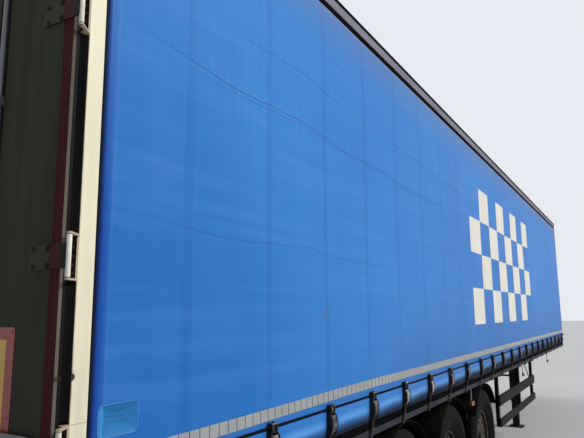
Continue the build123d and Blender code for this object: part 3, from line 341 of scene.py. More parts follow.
# %% Forms
class Form:
    """Points and faces of one piece, added to shape by shape."""

    def __init__(self):
        self.points = []
        self.faces = []

    def add(self, points, faces, move=None):
        start = len(self.points)
        if move is not None:
            points = [move @ Vector(p) for p in points]
        self.points += [tuple(p) for p in points]
        self.faces += [[start + i for i in face] for face in faces]
        return self

    def skin(self, rings, move=None):
        """Faces between rings of as many points each, and one face over each end."""
        count = len(rings[0])
        last = (len(rings) - 1) * count
        faces = []
        for ring in range(0, last, count):
            for n in range(count):
                m = (n + 1) % count
                faces.append([ring + n, ring + m, ring + count + m, ring + count + n])
        faces += [list(range(count))[::-1], list(range(last, last + count))]
        return self.add([point for ring in rings for point in ring], faces, move)

    def prism(self, outline, start, stop, across="x", move=None):
        """A closed outline carried from start to stop along one axis."""
        turn = {
            "x": lambda a, b, t: (t, a, b),
            "y": lambda a, b, t: (a, t, b),
            "z": lambda a, b, t: (a, b, t),
        }[across]
        return self.skin([[turn(a, b, t) for a, b in outline] for t in (start, stop)], move)

    def block(self, xs, ys, zs):
        """A box between two places on each axis."""
        outline = [(ys[0], zs[0]), (ys[1], zs[0]), (ys[1], zs[1]), (ys[0], zs[1])]
        return self.prism(outline, *xs)

    def turned(self, profile, sides, move=None, twist=0.0):
        """A profile of (radius, height) pairs turned round Z. A radius of zero closes an end."""
        points, rings = [], []
        for radius, height in profile:
            if radius == 0:
                rings.append([len(points)])
                points.append((0, 0, height))
            else:
                rings.append(list(range(len(points), len(points) + sides)))
                for n in range(sides):
                    angle = 2 * pi * n / sides + twist
                    points.append((radius * cos(angle), radius * sin(angle), height))
        faces = []
        for low, high in zip(rings, rings[1:]):
            for n in range(sides):
                m = (n + 1) % sides
                if len(low) == 1:
                    faces.append([low[0], high[m], high[n]])
                elif len(high) == 1:
                    faces.append([low[n], low[m], high[0]])
                else:
                    faces.append([low[n], low[m], high[m], high[n]])
        return self.add(points, faces, move)

    def bolt(self, place, facing, size):
        """A hexagon head on a round washer."""
        move = Matrix.Translation(place) @ Vector(facing).to_track_quat("Z", "Y").to_matrix().to_4x4()
        washer = [(0, 0), (0.9, 0), (0.9, 0.12), (0, 0.12)]
        head = [(0.56, 0.1), (0.56, 0.42), (0.44, 0.5), (0, 0.5)]
        self.turned([(size * radius, size * height) for radius, height in washer], 12, move)
        return self.turned([(size * radius, size * height) for radius, height in head], 6, move)

    def rivet(self, place, facing, size):
        """A low round head."""
        move = Matrix.Translation(place) @ Vector(facing).to_track_quat("Z", "Y").to_matrix().to_4x4()
        dome = [(size * 0.5, 0), (size * 0.44, size * 0.14), (size * 0.24, size * 0.24), (0, size * 0.27)]
        return self.turned(dome, 10, move)

    def tube(self, path, radius, sides=8):
        """A round bar bent through a list of points."""
        path = [Vector(p) for p in path]
        rings, side_way = [], None
        for n, here in enumerate(path):
            before, after = path[max(n - 1, 0)], path[min(n + 1, len(path) - 1)]
            way = (after - before).normalized()
            if side_way is None:
                side_way = way.orthogonal().normalized()
            side_way = (side_way - way * side_way.dot(way)).normalized()
            up_way = way.cross(side_way)
            ring = []
            for k in range(sides):
                angle = 2 * pi * k / sides
                ring.append(here + radius * (cos(angle) * side_way + sin(angle) * up_way))
            rings.append(ring)
        return self.skin(rings)

    def make(self, name, finish, body, slot=None, bevel=0.0, crease=35):
        """Turns the form into an object that rides on a body, with edges sharper than crease kept sharp."""
        mesh = bpy.data.meshes.new(name)
        mesh.from_pydata(self.points, [], self.faces)
        shape = bmesh.new()
        shape.from_mesh(mesh)
        bmesh.ops.recalc_face_normals(shape, faces=shape.faces)
        shape.to_mesh(mesh)
        shape.free()
        mesh.materials.append(finish)
        mesh.shade_smooth()
        mesh.set_sharp_from_angle(angle=radians(crease))
        piece = bpy.data.objects.new(name, mesh)
        bpy.context.scene.collection.objects.link(piece)
        if bevel:
            edge = piece.modifiers.new("edges", "BEVEL")
            edge.width = bevel
            edge.segments = 2
            edge.limit_method = "ANGLE"
            edge.angle_limit = radians(crease)
        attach(piece, body)
        print("made", name, len(mesh.polygons), "faces")
        return piece


print("a bolt has", len(Form().bolt((0, 0, 0), (0, 0, 1), 0.01).faces), "faces")

# %% [markdown]
# Most metal on a working trailer is one thing under wear: a colour, a film of road dust that is heavier
# near the ground and on what faces up, a few chips with another colour under them, and a fine grain. One
# function makes that family of finishes, and a table says which numbers each finish takes.


# %% Worn finishes
dust = paint(128, 118, 103)
rust = paint(98, 58, 38)


def worn(name, colour, rough=0.5, metal=0.0, grime=0.35, chips=0.0, under=rust, grain=0.25, shine=0.5):
    """Paint or bare metal with road dust on it, chips down to what is under it, and a fine grain."""
    finish = Finish(name, Specular_IOR_Level=shine)
    cloud = finish.noise(1.7, 5)
    fine = finish.noise(70, 4, rough=0.6)
    streak = finish.noise(9, 4, stretch=(1, 1, 0.15))
    low = (1 - finish.z / 1.1).clamp()
    settled = low * 0.5 + finish.face_z.clamp() * 0.3
    film = ((cloud * 0.9 + streak * 0.6 - 0.55) * 1.6 + settled).clamp() * grime
    tone = finish.mix(finish.ramp(cloud, 0.3, 0.7) * 0.5, colour, tuple(c * 0.8 for c in colour[:3]) + (1,))
    dirty = finish.mix(film, tone, dust)
    chipped_from = 0.79 - 0.12 * chips
    spots = finish.ramp(finish.noise(26, 6, rough=0.65) + cloud * 0.25, chipped_from, chipped_from + 0.03)
    bare = spots * min(chips * 3, 1.0)
    shown = finish.mix(bare, dirty, under)
    metallic = (1 - film) * (1 - bare) * metal
    relief = finish.bump(fine * 0.4 + finish.noise(300, 2) * 0.3 - spots * chips, 0.0008, grain)
    roughness = (rough + film * 0.35 + (fine - 0.5) * 0.2).clamp()
    return finish.give(Base_Color=shown, Roughness=roughness, Metallic=metallic, Normal=relief)


# name: colour, and what differs from the usual wear
worn_table = {
    # Painted shade: chassis, axles, rims, guards and landing legs take colours darker than their own paint,
    # as the shade under the trailer.
    "chassis_paint": dict(colour=paint(14, 16, 19), rough=0.65, grime=0.14, chips=0.12, shine=0.12),
    "galvanised_steel": dict(colour=paint(116, 121, 128), rough=0.5, metal=0.6, grime=0.3, chips=0.1),
    "rave_steel": dict(colour=paint(30, 36, 46), rough=0.65, grime=0.1, chips=0.1, shine=0.2),
    "aluminium_profile": dict(colour=paint(146, 143, 152), rough=0.48, metal=0.5, grime=0.25),
    "aluminium_lath": dict(colour=paint(184, 187, 190), rough=0.36, metal=0.8, grime=0.2),
    "buckle_black": dict(
        colour=paint(12, 13, 15), rough=0.5, grime=0.08, chips=0.3, under=paint(110, 100, 94), shine=0.3
    ),
    "black_rubber": dict(colour=paint(17, 17, 18), rough=0.75, grime=0.2, grain=0.5, shine=0.2),
    "cable_cover": dict(colour=paint(8, 9, 11), rough=0.7, grime=0.02, shine=0.05),
    "rim_paint": dict(colour=paint(30, 32, 35), rough=0.6, metal=0.1, grime=0.18, chips=0.2, shine=0.2),
    "axle_paint": dict(colour=paint(10, 11, 13), rough=0.7, grime=0.16, chips=0.15, shine=0.1),
    "guard_plastic": dict(colour=paint(5, 6, 8), rough=0.8, grime=0.05, shine=0.06),
    "guard_aluminium": dict(colour=paint(9, 11, 14), rough=0.65, grime=0.08, chips=0.08, shine=0.1),
    "leg_primer": dict(
        colour=paint(15, 15, 17), rough=0.7, grime=0.14, chips=0.3, under=paint(58, 38, 30), shine=0.1
    ),
    "pin_steel": dict(colour=paint(120, 118, 112), rough=0.3, metal=1.0, grime=0.4),
    "front_paint": dict(colour=paint(214, 216, 214), rough=0.4, grime=0.25, chips=0.05),
    "bolt_steel": dict(colour=paint(92, 84, 78), rough=0.45, metal=0.7, grime=0.4, chips=0.4),
    "door_rubber": dict(colour=paint(12, 12, 13), rough=0.9, grime=0.03, grain=0.5, shine=0.03),
    "hinge_bolt": dict(colour=paint(30, 26, 24), rough=0.6, grime=0.1, chips=0.4, shine=0.2),
    "roof_edge": dict(colour=paint(6, 6, 8), rough=0.9, grime=0.02, shine=0.02),
    "rear_grey": dict(colour=paint(120, 122, 118), rough=0.5, metal=0.3, grime=0.35, chips=0.1),
}
made_finishes = {name: worn(name, **numbers) for name, numbers in worn_table.items()}


def keep(name, material):
    """Puts one more finish with the made ones."""
    made_finishes[name] = material
    print("finish", name, len(material.node_tree.nodes), "nodes")


print("worn finishes", len(made_finishes))

# %% [markdown]
# The rear corner posts are painted cream. Close to, the paint is scraped: about half a metre above the
# load floor is a dent with a rusty chip, below it a thin crack, and rust runs down the rear edge. A
# picture could show all that, but the post would have to be unrolled for it. As masks on the post's own
# heights, each mark has one line and can be moved.


# %% Cream paint
def cream_post():
    finish = Finish("cream_paint", Coat_Weight=0.15, Coat_Roughness=0.25)
    cloud = finish.noise(2.4, 5)
    streak = finish.noise(16, 5, stretch=(1, 1, 0.08))
    fine = finish.noise(90, 4)
    colour = finish.mix(finish.ramp(cloud, 0.3, 0.75), paint(234, 226, 196), paint(225, 218, 188))
    lower = (1 - finish.ramp(finish.z, 1.3, 2.5)) * 0.6
    film = (finish.ramp(streak, 0.45, 0.75) * (0.15 + lower)).clamp()
    colour = finish.mix(film, colour, paint(168, 166, 148))
    edge = finish.near(finish.x, along(0.064), 0.006)
    rust_edge = edge * finish.ramp(finish.noise(14, 6, stretch=(1, 1, 0.3)), 0.42, 0.6)
    dent = finish.near(finish.z, 1.746, 0.022) * finish.near(finish.x, along(0.066), 0.020)
    chip = finish.ramp(dent + finish.noise(60, 4) * 0.5, 0.62, 0.72)
    crack = finish.near(finish.z, 1.602 + (finish.noise(7, 2) - 0.5) * 0.02, 0.0016)
    spots = finish.ramp(finish.noise(34, 6, rough=0.7), 0.76, 0.79)
    colour = finish.mix(rust_edge * 0.85, colour, paint(92, 60, 42))
    colour = finish.mix((crack * 0.7 + spots * 0.4).clamp(), colour, paint(112, 92, 70))
    colour = finish.mix(chip, colour, paint(38, 26, 20))
    shaded = (finish.face_x * -1).above(0.7) * abs(finish.y).above(post_face - 0.0335)
    colour = finish.mix(shaded * 0.92, colour, paint(46, 36, 30))
    relief = finish.bump(cloud * 0.6 + fine * 0.15 - dent * 2.2 - chip * 0.6 - crack * 0.5, 0.004, 0.6)
    roughness = (0.36 + film * 0.3 + chip * 0.3).clamp()
    return finish.give(Base_Color=colour, Roughness=roughness, Normal=relief)


keep("cream_paint", cream_post())

# %% [markdown]
# The doors are grey-green laminated panels, painted here in colours darker than their own as painted shade.
# Their outer edge carries a dark red band about five centimetres wide on the face, darkened in the same
# way. The edge itself is a bare light profile for its first 12.5 millimetres, then near-black toward the
# post as painted shade in the gap. Three materials on three sets of faces would do as well. Here one finish
# tells them apart by the door's own places, so the solid stays as it is.


# %% Door panels
def door_panel():
    finish = Finish("door_paint", Specular_IOR_Level=0.08)
    cloud = finish.noise(1.3, 5)
    streak = finish.noise(22, 4, stretch=(1, 1, 0.05))
    out = abs(finish.y)
    # Painted shade: these panel colours are darker than the doors' own grey-green.
    colour = finish.mix(finish.ramp(cloud, 0.3, 0.7), paint(58, 62, 49), paint(50, 51, 40))
    colour = finish.mix(finish.ramp(streak, 0.45, 0.75) * 0.3, colour, paint(40, 38, 30))
    seam = finish.near(out, 1.172, 0.0012) + finish.near(out, 0.94, 0.0010) * 0.6
    colour = finish.mix(seam.clamp() * 0.5, colour, paint(48, 48, 42))
    band = out.above(post_face - 0.050)
    # Painted shade: the red band is darker than its own red too.
    red = finish.mix(finish.ramp(streak, 0.4, 0.8), paint(70, 17, 22), paint(52, 13, 17))
    colour = finish.mix(band, colour, red)
    edge = abs(finish.face_y).above(0.7) * out.above(post_face - 0.002)
    grey = finish.mix(finish.ramp(streak, 0.4, 0.7), paint(98, 95, 88), paint(66, 62, 55))
    # Painted shade: deeper than 12.5 millimetres the side edge is near-black, the shade in the gap toward
    # the post.
    grey = finish.mix(finish.x.above(along(0.0125)), grey, paint(16, 16, 17))
    colour = finish.mix(edge, colour, grey)
    scrape = finish.near(finish.z, 1.746, 0.012) * finish.near(out, post_face, 0.020)
    marks = finish.ramp(finish.noise(30, 6, rough=0.7) + scrape, 0.78, 0.82)
    colour = finish.mix(marks * 0.7, colour, paint(40, 30, 26))
    relief = finish.bump(finish.noise(240, 3) * 0.5 - seam * 0.8 + cloud * 0.4, 0.0012, 0.5)
    roughness = (0.6 + (streak - 0.5) * 0.3).clamp()
    return finish.give(Base_Color=colour, Roughness=roughness, Normal=relief)


keep("door_paint", door_panel())

# %% [markdown]
# The hinge leaves on the doors took the doors' paint, in the same darkened colours of painted shade, and
# past the door's edge they are painted dark brown as shade in the gap to the post. The brackets on the
# posts are rubbed bright at their edges, and the plate between their arms is painted dark brown as shade in
# the recess. The pins, at `pin_out` from the middle, turn in white barrels. Those are round, so the
# distance from the pin's axis finds them, which is simpler than picking faces.


# %% Hinge finishes
def hinge_leaf():
    """The hinge leaves were painted with the doors, in their darkened colours of painted shade, and past
    the door's edge they are dark brown as painted shade in the gap to the post. Only the turning barrels
    stayed white.
    """
    finish = Finish("hinge_leaf", Specular_IOR_Level=0.1)
    out = abs(finish.y)
    streak = finish.noise(22, 4, stretch=(1, 1, 0.05))
    cloud = finish.noise(8, 5)
    # Painted shade: the doors' darkened colours.
    colour = finish.mix(cloud, paint(56, 60, 47), paint(47, 48, 38))
    red = finish.mix(streak, paint(70, 17, 22), paint(52, 13, 17))
    colour = finish.mix(out.above(post_face - 0.050), colour, red)
    # Painted shade: past the door's edge the leaf is dark brown, the shade in the gap to the post.
    colour = finish.mix(out.above(post_face - 0.001), colour, paint(30, 26, 24))
    from_pin = (finish.x - along(pin_from_doors)) ** 2 + (out - pin_out) ** 2
    white = finish.mix(finish.ramp(cloud, 0.45, 0.75), paint(236, 234, 222), paint(196, 190, 176))
    colour = finish.mix(1 - from_pin.above(pin_radius**2), colour, white)
    chips = finish.ramp(finish.noise(60, 6, rough=0.7), 0.68, 0.72)
    colour = finish.mix(chips * 0.7, colour, paint(60, 42, 34))
    relief = finish.bump(cloud * 0.5 - chips * 0.5, 0.001, 0.5)
    return finish.give(Base_Color=colour, Roughness=0.5 + chips * 0.3, Normal=relief)


def hinge_base():
    """The C-brackets: bright rubbed edges, and a dark brown rear plate between them, painted as shade in
    the recess.
    """
    finish = Finish("hinge_base", Specular_IOR_Level=0.3)
    cloud = finish.noise(30, 5)
    colour = finish.mix(cloud, paint(196, 180, 160), paint(168, 146, 126))
    # Painted shade: the rear-facing plate between the arms, in the recess.
    plate = (finish.face_x * -1).above(0.6) * finish.x.above(along(0.050))
    plate_shade = finish.mix(finish.ramp(finish.noise(70, 5), 0.4, 0.6), paint(66, 50, 44), paint(98, 62, 44))
    colour = finish.mix(plate, colour, plate_shade)
    chips = finish.ramp(finish.noise(90, 6, rough=0.7), 0.66, 0.7)
    colour = finish.mix(chips * 0.6, colour, paint(86, 52, 36))
    relief = finish.bump(cloud * 0.6 - chips * 0.6, 0.0012, 0.5)
    return finish.give(Base_Color=colour, Roughness=0.5 + cloud * 0.2, Normal=relief)


keep("hinge_base", hinge_base())
keep("hinge_leaf", hinge_leaf())

# %% [markdown]
# Plywood makes the load floor. Its grain is noise drawn out along the boards, and the joints between
# sheets are thin dark lines that return at every sheet's length and width. A wood picture would have its
# own joints in the wrong places.


# %% Plywood floor
def plywood():
    finish = Finish("plywood_floor")
    grain = finish.noise(30, 6, stretch=(0.06, 1, 1))
    cloud = finish.noise(1.1, 4)
    colour = finish.mix(grain, paint(96, 62, 44), paint(66, 42, 32))
    colour = finish.mix(finish.ramp(cloud, 0.4, 0.7) * 0.5, colour, paint(120, 100, 80))
    joint = (1 - finish.x.repeat(2.44) / 0.004).clamp() + (1 - finish.y.repeat(1.22) / 0.003).clamp()
    colour = finish.mix(joint.clamp(), colour, paint(24, 20, 18))
    relief = finish.bump(grain * 0.5 - joint, 0.001, 0.5)
    return finish.give(Base_Color=colour, Roughness=0.55 + grain * 0.25, Normal=relief)


keep("plywood_floor", plywood())

# %% [markdown]
# The tyres' rubber is greyed by the road on its tread, and the roof is a pale tarpaulin with a soft woven
# grain and stains where rain stood. The tread is not painted by hand: it is wherever the distance from
# the axle is large, and each tyre counts from its own middle.


# %% Rubber and roof cloth
def tyre_rubber():
    finish = Finish("tyre_rubber", Specular_IOR_Level=0.07)
    radius = (finish.x * finish.x + finish.z * finish.z) ** 0.5
    cloud = finish.noise(6, 5)
    tread = finish.ramp(radius, 0.49, 0.53)
    # Painted shade: the rubber is darker than its own black, as the shade under the trailer.
    colour = finish.mix(cloud, paint(6, 7, 9), paint(12, 12, 14))
    colour = finish.mix(tread * 0.25 + finish.ramp(cloud, 0.5, 0.8) * 0.12, colour, paint(46, 45, 44))
    ribs = (radius * 1100).sine() * finish.near(radius, 0.385, 0.012)
    relief = finish.bump(finish.noise(160, 3) * 0.5 + ribs * 0.5, 0.001, 0.6)
    return finish.give(Base_Color=colour, Roughness=0.72 + tread * 0.15, Normal=relief)


def roof_cloth():
    finish = Finish("roof_fabric", Sheen_Weight=0.1)
    cloud = finish.noise(0.9, 5)
    weave = ((finish.x * 2400).sine() + (finish.y * 2400).sine()) * 0.25
    pools = finish.ramp(finish.noise(1.6, 5, shift=(3, 1, 0)), 0.5, 0.72)
    colour = finish.mix(cloud, paint(226, 224, 208), paint(208, 206, 190))
    colour = finish.mix(pools * 0.55, colour, paint(150, 144, 124))
    relief = finish.bump(weave * 0.3 + cloud * 2, 0.001, 0.5)
    return finish.give(Base_Color=colour, Roughness=0.5 + pools * 0.2, Normal=relief)


keep("tyre_rubber", tyre_rubber())
keep("roof_fabric", roof_cloth())

# %% [markdown]
# The rail along each edge of the roof is drawn aluminium, and its grain runs lengthwise. The noise is
# pulled out along the trailer, which costs one number. A picture of brushed metal would have to be laid
# on by hand.


# %% Rail profile
def cant_rail():
    """Dull aluminium with dirty streaks along it."""
    finish = Finish("rail_profile", Specular_IOR_Level=0.4)
    cloud = finish.noise(2.2, 5)
    streak = finish.noise(12, 4, stretch=(0.05, 1, 1))
    colour = finish.mix(cloud, paint(122, 118, 134), paint(98, 98, 114))
    colour = finish.mix(finish.ramp(streak, 0.5, 0.8) * 0.5, colour, paint(60, 64, 76))
    relief = finish.bump(streak * 0.5 + finish.noise(200, 2) * 0.2, 0.0008, 0.4)
    return finish.give(Base_Color=colour, Roughness=0.5 + cloud * 0.15, Metallic=0.25, Normal=relief)


keep("rail_profile", cant_rail())

# %% [markdown]
# Lenses are coloured plastic over a pattern of small prisms. Real glass that lets light through would be
# slow and noisy in so small a piece. A strong clear coat gives the gloss, and a fine square relief gives
# the prisms.


# %% Lenses and marking colours
def lens(name, colour, deep, gloss=0.8):
    finish = Finish(name, Coat_Weight=gloss, Coat_Roughness=0.06, Specular_IOR_Level=0.25 + gloss / 4)
    prisms = (finish.y * 900).sine() * (finish.z * 900).sine() + (finish.x * 900).sine() * 0.5
    tone = finish.mix(finish.ramp(prisms, -0.6, 0.8), deep, colour)
    film = finish.ramp(finish.noise(12, 4), 0.5, 0.8) * 0.3
    tone = finish.mix(film, tone, dust)
    if name == "marker_lamp":
        tone = finish.mix(finish.z.above(marker_arm_from), tone, paint(12, 12, 14))
    return finish.give(Base_Color=tone, Roughness=0.22 + film, Normal=finish.bump(prisms, 0.0006, 0.6))


def marking(name, colour, second):
    finish = Finish(name, Coat_Weight=0.3, Coat_Roughness=0.2)
    cells = (finish.y * 1500 + finish.z * 900).sine() * (finish.y * 1500 - finish.z * 900).sine()
    film = finish.ramp(finish.noise(8, 5), 0.45, 0.8) * 0.5
    tone = finish.mix(film, finish.mix(finish.ramp(cells, -1, 1) * 0.3, colour, second), dust)
    return finish.give(Base_Color=tone, Roughness=0.35 + film * 0.4, Normal=finish.bump(cells, 0.0004, 0.3))


keep("red_lens", lens("red_lens", paint(176, 24, 22), paint(96, 8, 10)))
keep("amber_lens", lens("amber_lens", paint(222, 122, 22), paint(150, 64, 8)))
keep("marker_lamp", lens("marker_lamp", paint(150, 84, 34), paint(92, 46, 20), 0.1))
keep("clear_lens", lens("clear_lens", paint(214, 216, 218), paint(120, 122, 126)))
keep("plate_yellow", marking("plate_yellow", paint(226, 178, 34), paint(206, 150, 22)))
keep("plate_red", marking("plate_red", paint(160, 34, 32), paint(128, 24, 26)))

# %% [markdown]
# Each solid of the frame gets its finish from one table, by finish. It could be set node by node, but in
# this way it shows at once what is painted alike. What is replaced further down is left out of it.

# %% Finishes on the frame
finish_nodes = {
    "chassis_paint": ("chassis_beams", "cross_members", "hangers", "coupling_plate", "air_tanks"),
    "axle_paint": ("axle_rear", "axle_middle", "axle_front", "trailing_arms", "shock_absorbers"),
    "rim_paint": [f"rim_{axle}_{side}" for axle in AXLES for side, _ in SIDES],
    "black_rubber": ("air_springs", "rear_lamps", "rear_buffers", "front_couplings"),
    "leg_primer": ("landing_legs", "landing_gear_drive"),
    "guard_aluminium": ("side_guard_left", "side_guard_right", "underrun_bar"),
    "guard_plastic": ("mudguards",),
    "pin_steel": ("kingpin",),
    "plywood_floor": ("floor_deck",),
    "rave_steel": ("side_raves",),
    "aluminium_profile": ("roof_bows",),
    "rail_profile": ("cant_rails",),
    "cream_paint": ("rear_posts", "rear_header"),
    "rear_grey": ("rear_sill",),
    "front_paint": ("front_wall", "front_posts"),
    "galvanised_steel": ("tension_tubes", "side_pillars", "lock_rods_left", "lock_rods_right"),
    "aluminium_lath": ("side_laths",),
    "cable_cover": ("customs_cables",),
    "marker_lamp": ("marker_lamps",),
    "door_paint": ("door_left", "door_right"),
    "hinge_leaf": ("hinge_straps_left", "hinge_straps_right"),
    "hinge_base": ("hinge_brackets",),
}
for finish_name, names in finish_nodes.items():
    for name in names:
        solid = nodes[name].data
        solid.materials.clear()
        solid.materials.append(made_finishes[finish_name])
print("finished nodes", sum(len(names) for names in finish_nodes.values()))

# %% [markdown]
# The curtain is a coated cloth, stretched from the rail to the strap hooks and round an upright tube at
# each end. Four things shape it: the wrap at its ends, a belly that bulges between the straps at the
# foot, the webbing bands welded inside it at each strap, and slow waves over the whole. One function of
# length and height gives its distance from the middle of the trailer, and everything that lies on it asks
# that function.


# %% Shape of a curtain
curtain_bottom, curtain_top = curtain_low.z, curtain_high.z
curtain_rear, curtain_front = curtain_low.x, curtain_high.x
belly_top = 1.428
belly_depth = 0.024
wrap_radius = 0.030
lath_heights = (1.67, 2.10, 2.65, 3.20)


def smooth(value):
    """0 below 0, 1 above 1, and a soft S between them."""
    value = min(max(value, 0.0), 1.0)
    return value * value * (3 - 2 * value)


def to_strap(x):
    """Distance from a place along the trailer to the nearest strap."""
    nearest = round((x - strap_first) / strap_pitch)
    nearest = min(max(nearest, 0), strap_count - 1)
    return abs(x - strap_places[nearest])


def curtain_out(x, z):
    """Distance of the curtain's outer face from the middle plane."""
    out = half_width - 0.0006
    out -= 0.005 * smooth((z - 3.80) / (curtain_top - 3.80))
    from_end = min(x - curtain_rear, curtain_front - x)
    inside = smooth((from_end - wrap_radius) / 0.35)
    near_strap = to_strap(x)
    pulled = smooth(1 - near_strap / 0.11)
    if z < belly_top:
        rise = (z - curtain_bottom) / (belly_top - curtain_bottom)
        bulge = sin(pi * min(rise * 1.05, 1.0)) ** 0.8
        drape = 0.8 + 0.45 * noise.noise(Vector((x * 2.3, 7.0, 0)))
        out += belly_depth * bulge * (1 - 0.85 * pulled) * inside * drape
        out -= 0.016 * (1 - rise) ** 2
        out -= 0.0022 * inside * smooth(1 - abs(z - cable_height) / 0.02)
    band = smooth(1 - near_strap / 0.026)
    out -= 0.0012 * band * smooth((z - belly_top) / 0.1) * inside
    fade = inside * smooth((z - belly_top) / 0.15) * smooth((curtain_top - z) / 0.25)
    wave = noise.noise(Vector((x * 0.55, 0.0, z * 0.7))) * 0.006
    ripple = noise.noise(Vector((x * 2.4, 3.0, z * 1.5))) * 0.0016
    diagonal = noise.noise(Vector((x * 0.7 + z * 1.6, 5.0, z * 4.2 - x * 0.5))) * 0.0010
    out += (wave + ripple + diagonal - 0.001) * fade
    for height in lath_heights:
        out += 0.0009 * smooth(1 - abs(z - height) / 0.06) * fade
    if from_end < wrap_radius:
        short = wrap_radius - max(from_end, 0.0)
        out -= wrap_radius - sqrt(max(wrap_radius**2 - short**2, 0.0))
    return out


print("belly at a strap", round(curtain_out(strap_places[3], 1.33), 4))
print("belly between straps", round(curtain_out(strap_places[3] + 0.3, 1.33), 4))

# %% [markdown]
# The cloth itself is a grid, finer where the curtain wraps its end tubes, bellies out at the foot, or
# meets its runners. An even grid would need many times the faces for the same curve. Columns and rows
# come from short lists of stretches, each with its own spacing.


# %% Cloth grid
def stretches(parts):
    """Places from (start, stop, spacing) parts, without doubles."""
    places = []
    for start, stop, spacing in parts:
        count = max(1, round((stop - start) / spacing))
        places += [start + (stop - start) * n / count for n in range(count)]
    return places + [parts[-1][1]]


rear_tube, front_tube = curtain_rear + wrap_radius, curtain_front - wrap_radius
columns = [(curtain_rear, rear_tube, 0.0025), (rear_tube, front_tube, 0.026)]
columns = stretches(columns + [(front_tube, curtain_front, 0.0025)])
above_belly, runners_from = belly_top + 0.03, 3.78
rows = [(curtain_bottom, above_belly, 0.012), (above_belly, runners_from, 0.052)]
rows = stretches(rows + [(runners_from, curtain_top, 0.02)])
print("cloth grid", len(columns), "by", len(rows))

# %% [markdown]
# The blue cloth shows its history. Each crease is a line with its own start, stop and heights, drawn as a
# thin dark stroke of painted shade in the fold. They could be painted on a picture by hand, but a table of
# nine lines is sharper from near by, and each line can be moved. A slow wobble takes the ruler out of them.

# %% Creases and scuffs
# Creases as (start along, stop along, height at start, height at stop, strength)
creases = (
    (0.20, 4.30, 3.020, 2.905, 1.0),
    (0.60, 4.60, 2.985, 2.890, 0.7),
    (0.16, 3.30, 2.300, 2.245, 0.55),
    (0.75, 5.60, 3.290, 3.170, 0.9),
    (1.60, 6.40, 2.700, 2.610, 0.45),
    (2.20, 9.00, 2.480, 2.560, 0.4),
    (4.40, 12.8, 2.930, 2.840, 0.6),
    (3.00, 11.5, 2.120, 2.060, 0.4),
    (5.40, 13.2, 3.380, 3.300, 0.4),
)


def crease_marks(finish, x, z):
    """1 on the creases and 0 beside them."""
    wobble = (finish.noise(0.9, 3, stretch=(1, 0, 0)) - 0.5) * 0.16
    wobble = wobble + (finish.noise(5, 3, stretch=(1, 0, 0)) - 0.5) * 0.02
    folds = 0.0
    for start, stop, first, last, strength in creases:
        height = (x - start) * ((last - first) / (stop - start)) + first + wobble
        span = finish.ramp(x, start, start + 0.5) * (1 - finish.ramp(x, stop - 0.8, stop))
        folds = finish.near(z, height, 0.0045) * span * strength + folds
    return folds.clamp()


def scuff_marks(finish, x, z):
    """A pale scuff that runs down toward the front, broken up by noise."""
    line = (x - 0.42) * -0.459 + 3.188 + (finish.noise(2.2, 3) - 0.5) * 0.05
    scuff = finish.near(z, line, 0.045) * finish.ramp(finish.noise(22, 4), 0.42, 0.7)
    return scuff * finish.ramp(x, 0.3, 0.6) * (1 - finish.ramp(x, 3.0, 3.5))


def smudge_marks(finish, x, z):
    """A greyish smudge as long as a hand."""
    smudge = finish.near(z - (x - 1.78) * 0.57, 1.93, 0.045) * finish.near(x, 1.78, 0.13)
    return finish.ramp(smudge + (finish.noise(18, 4) - 0.5) * 0.6, 0.3, 0.8)


print("creases", len(creases))
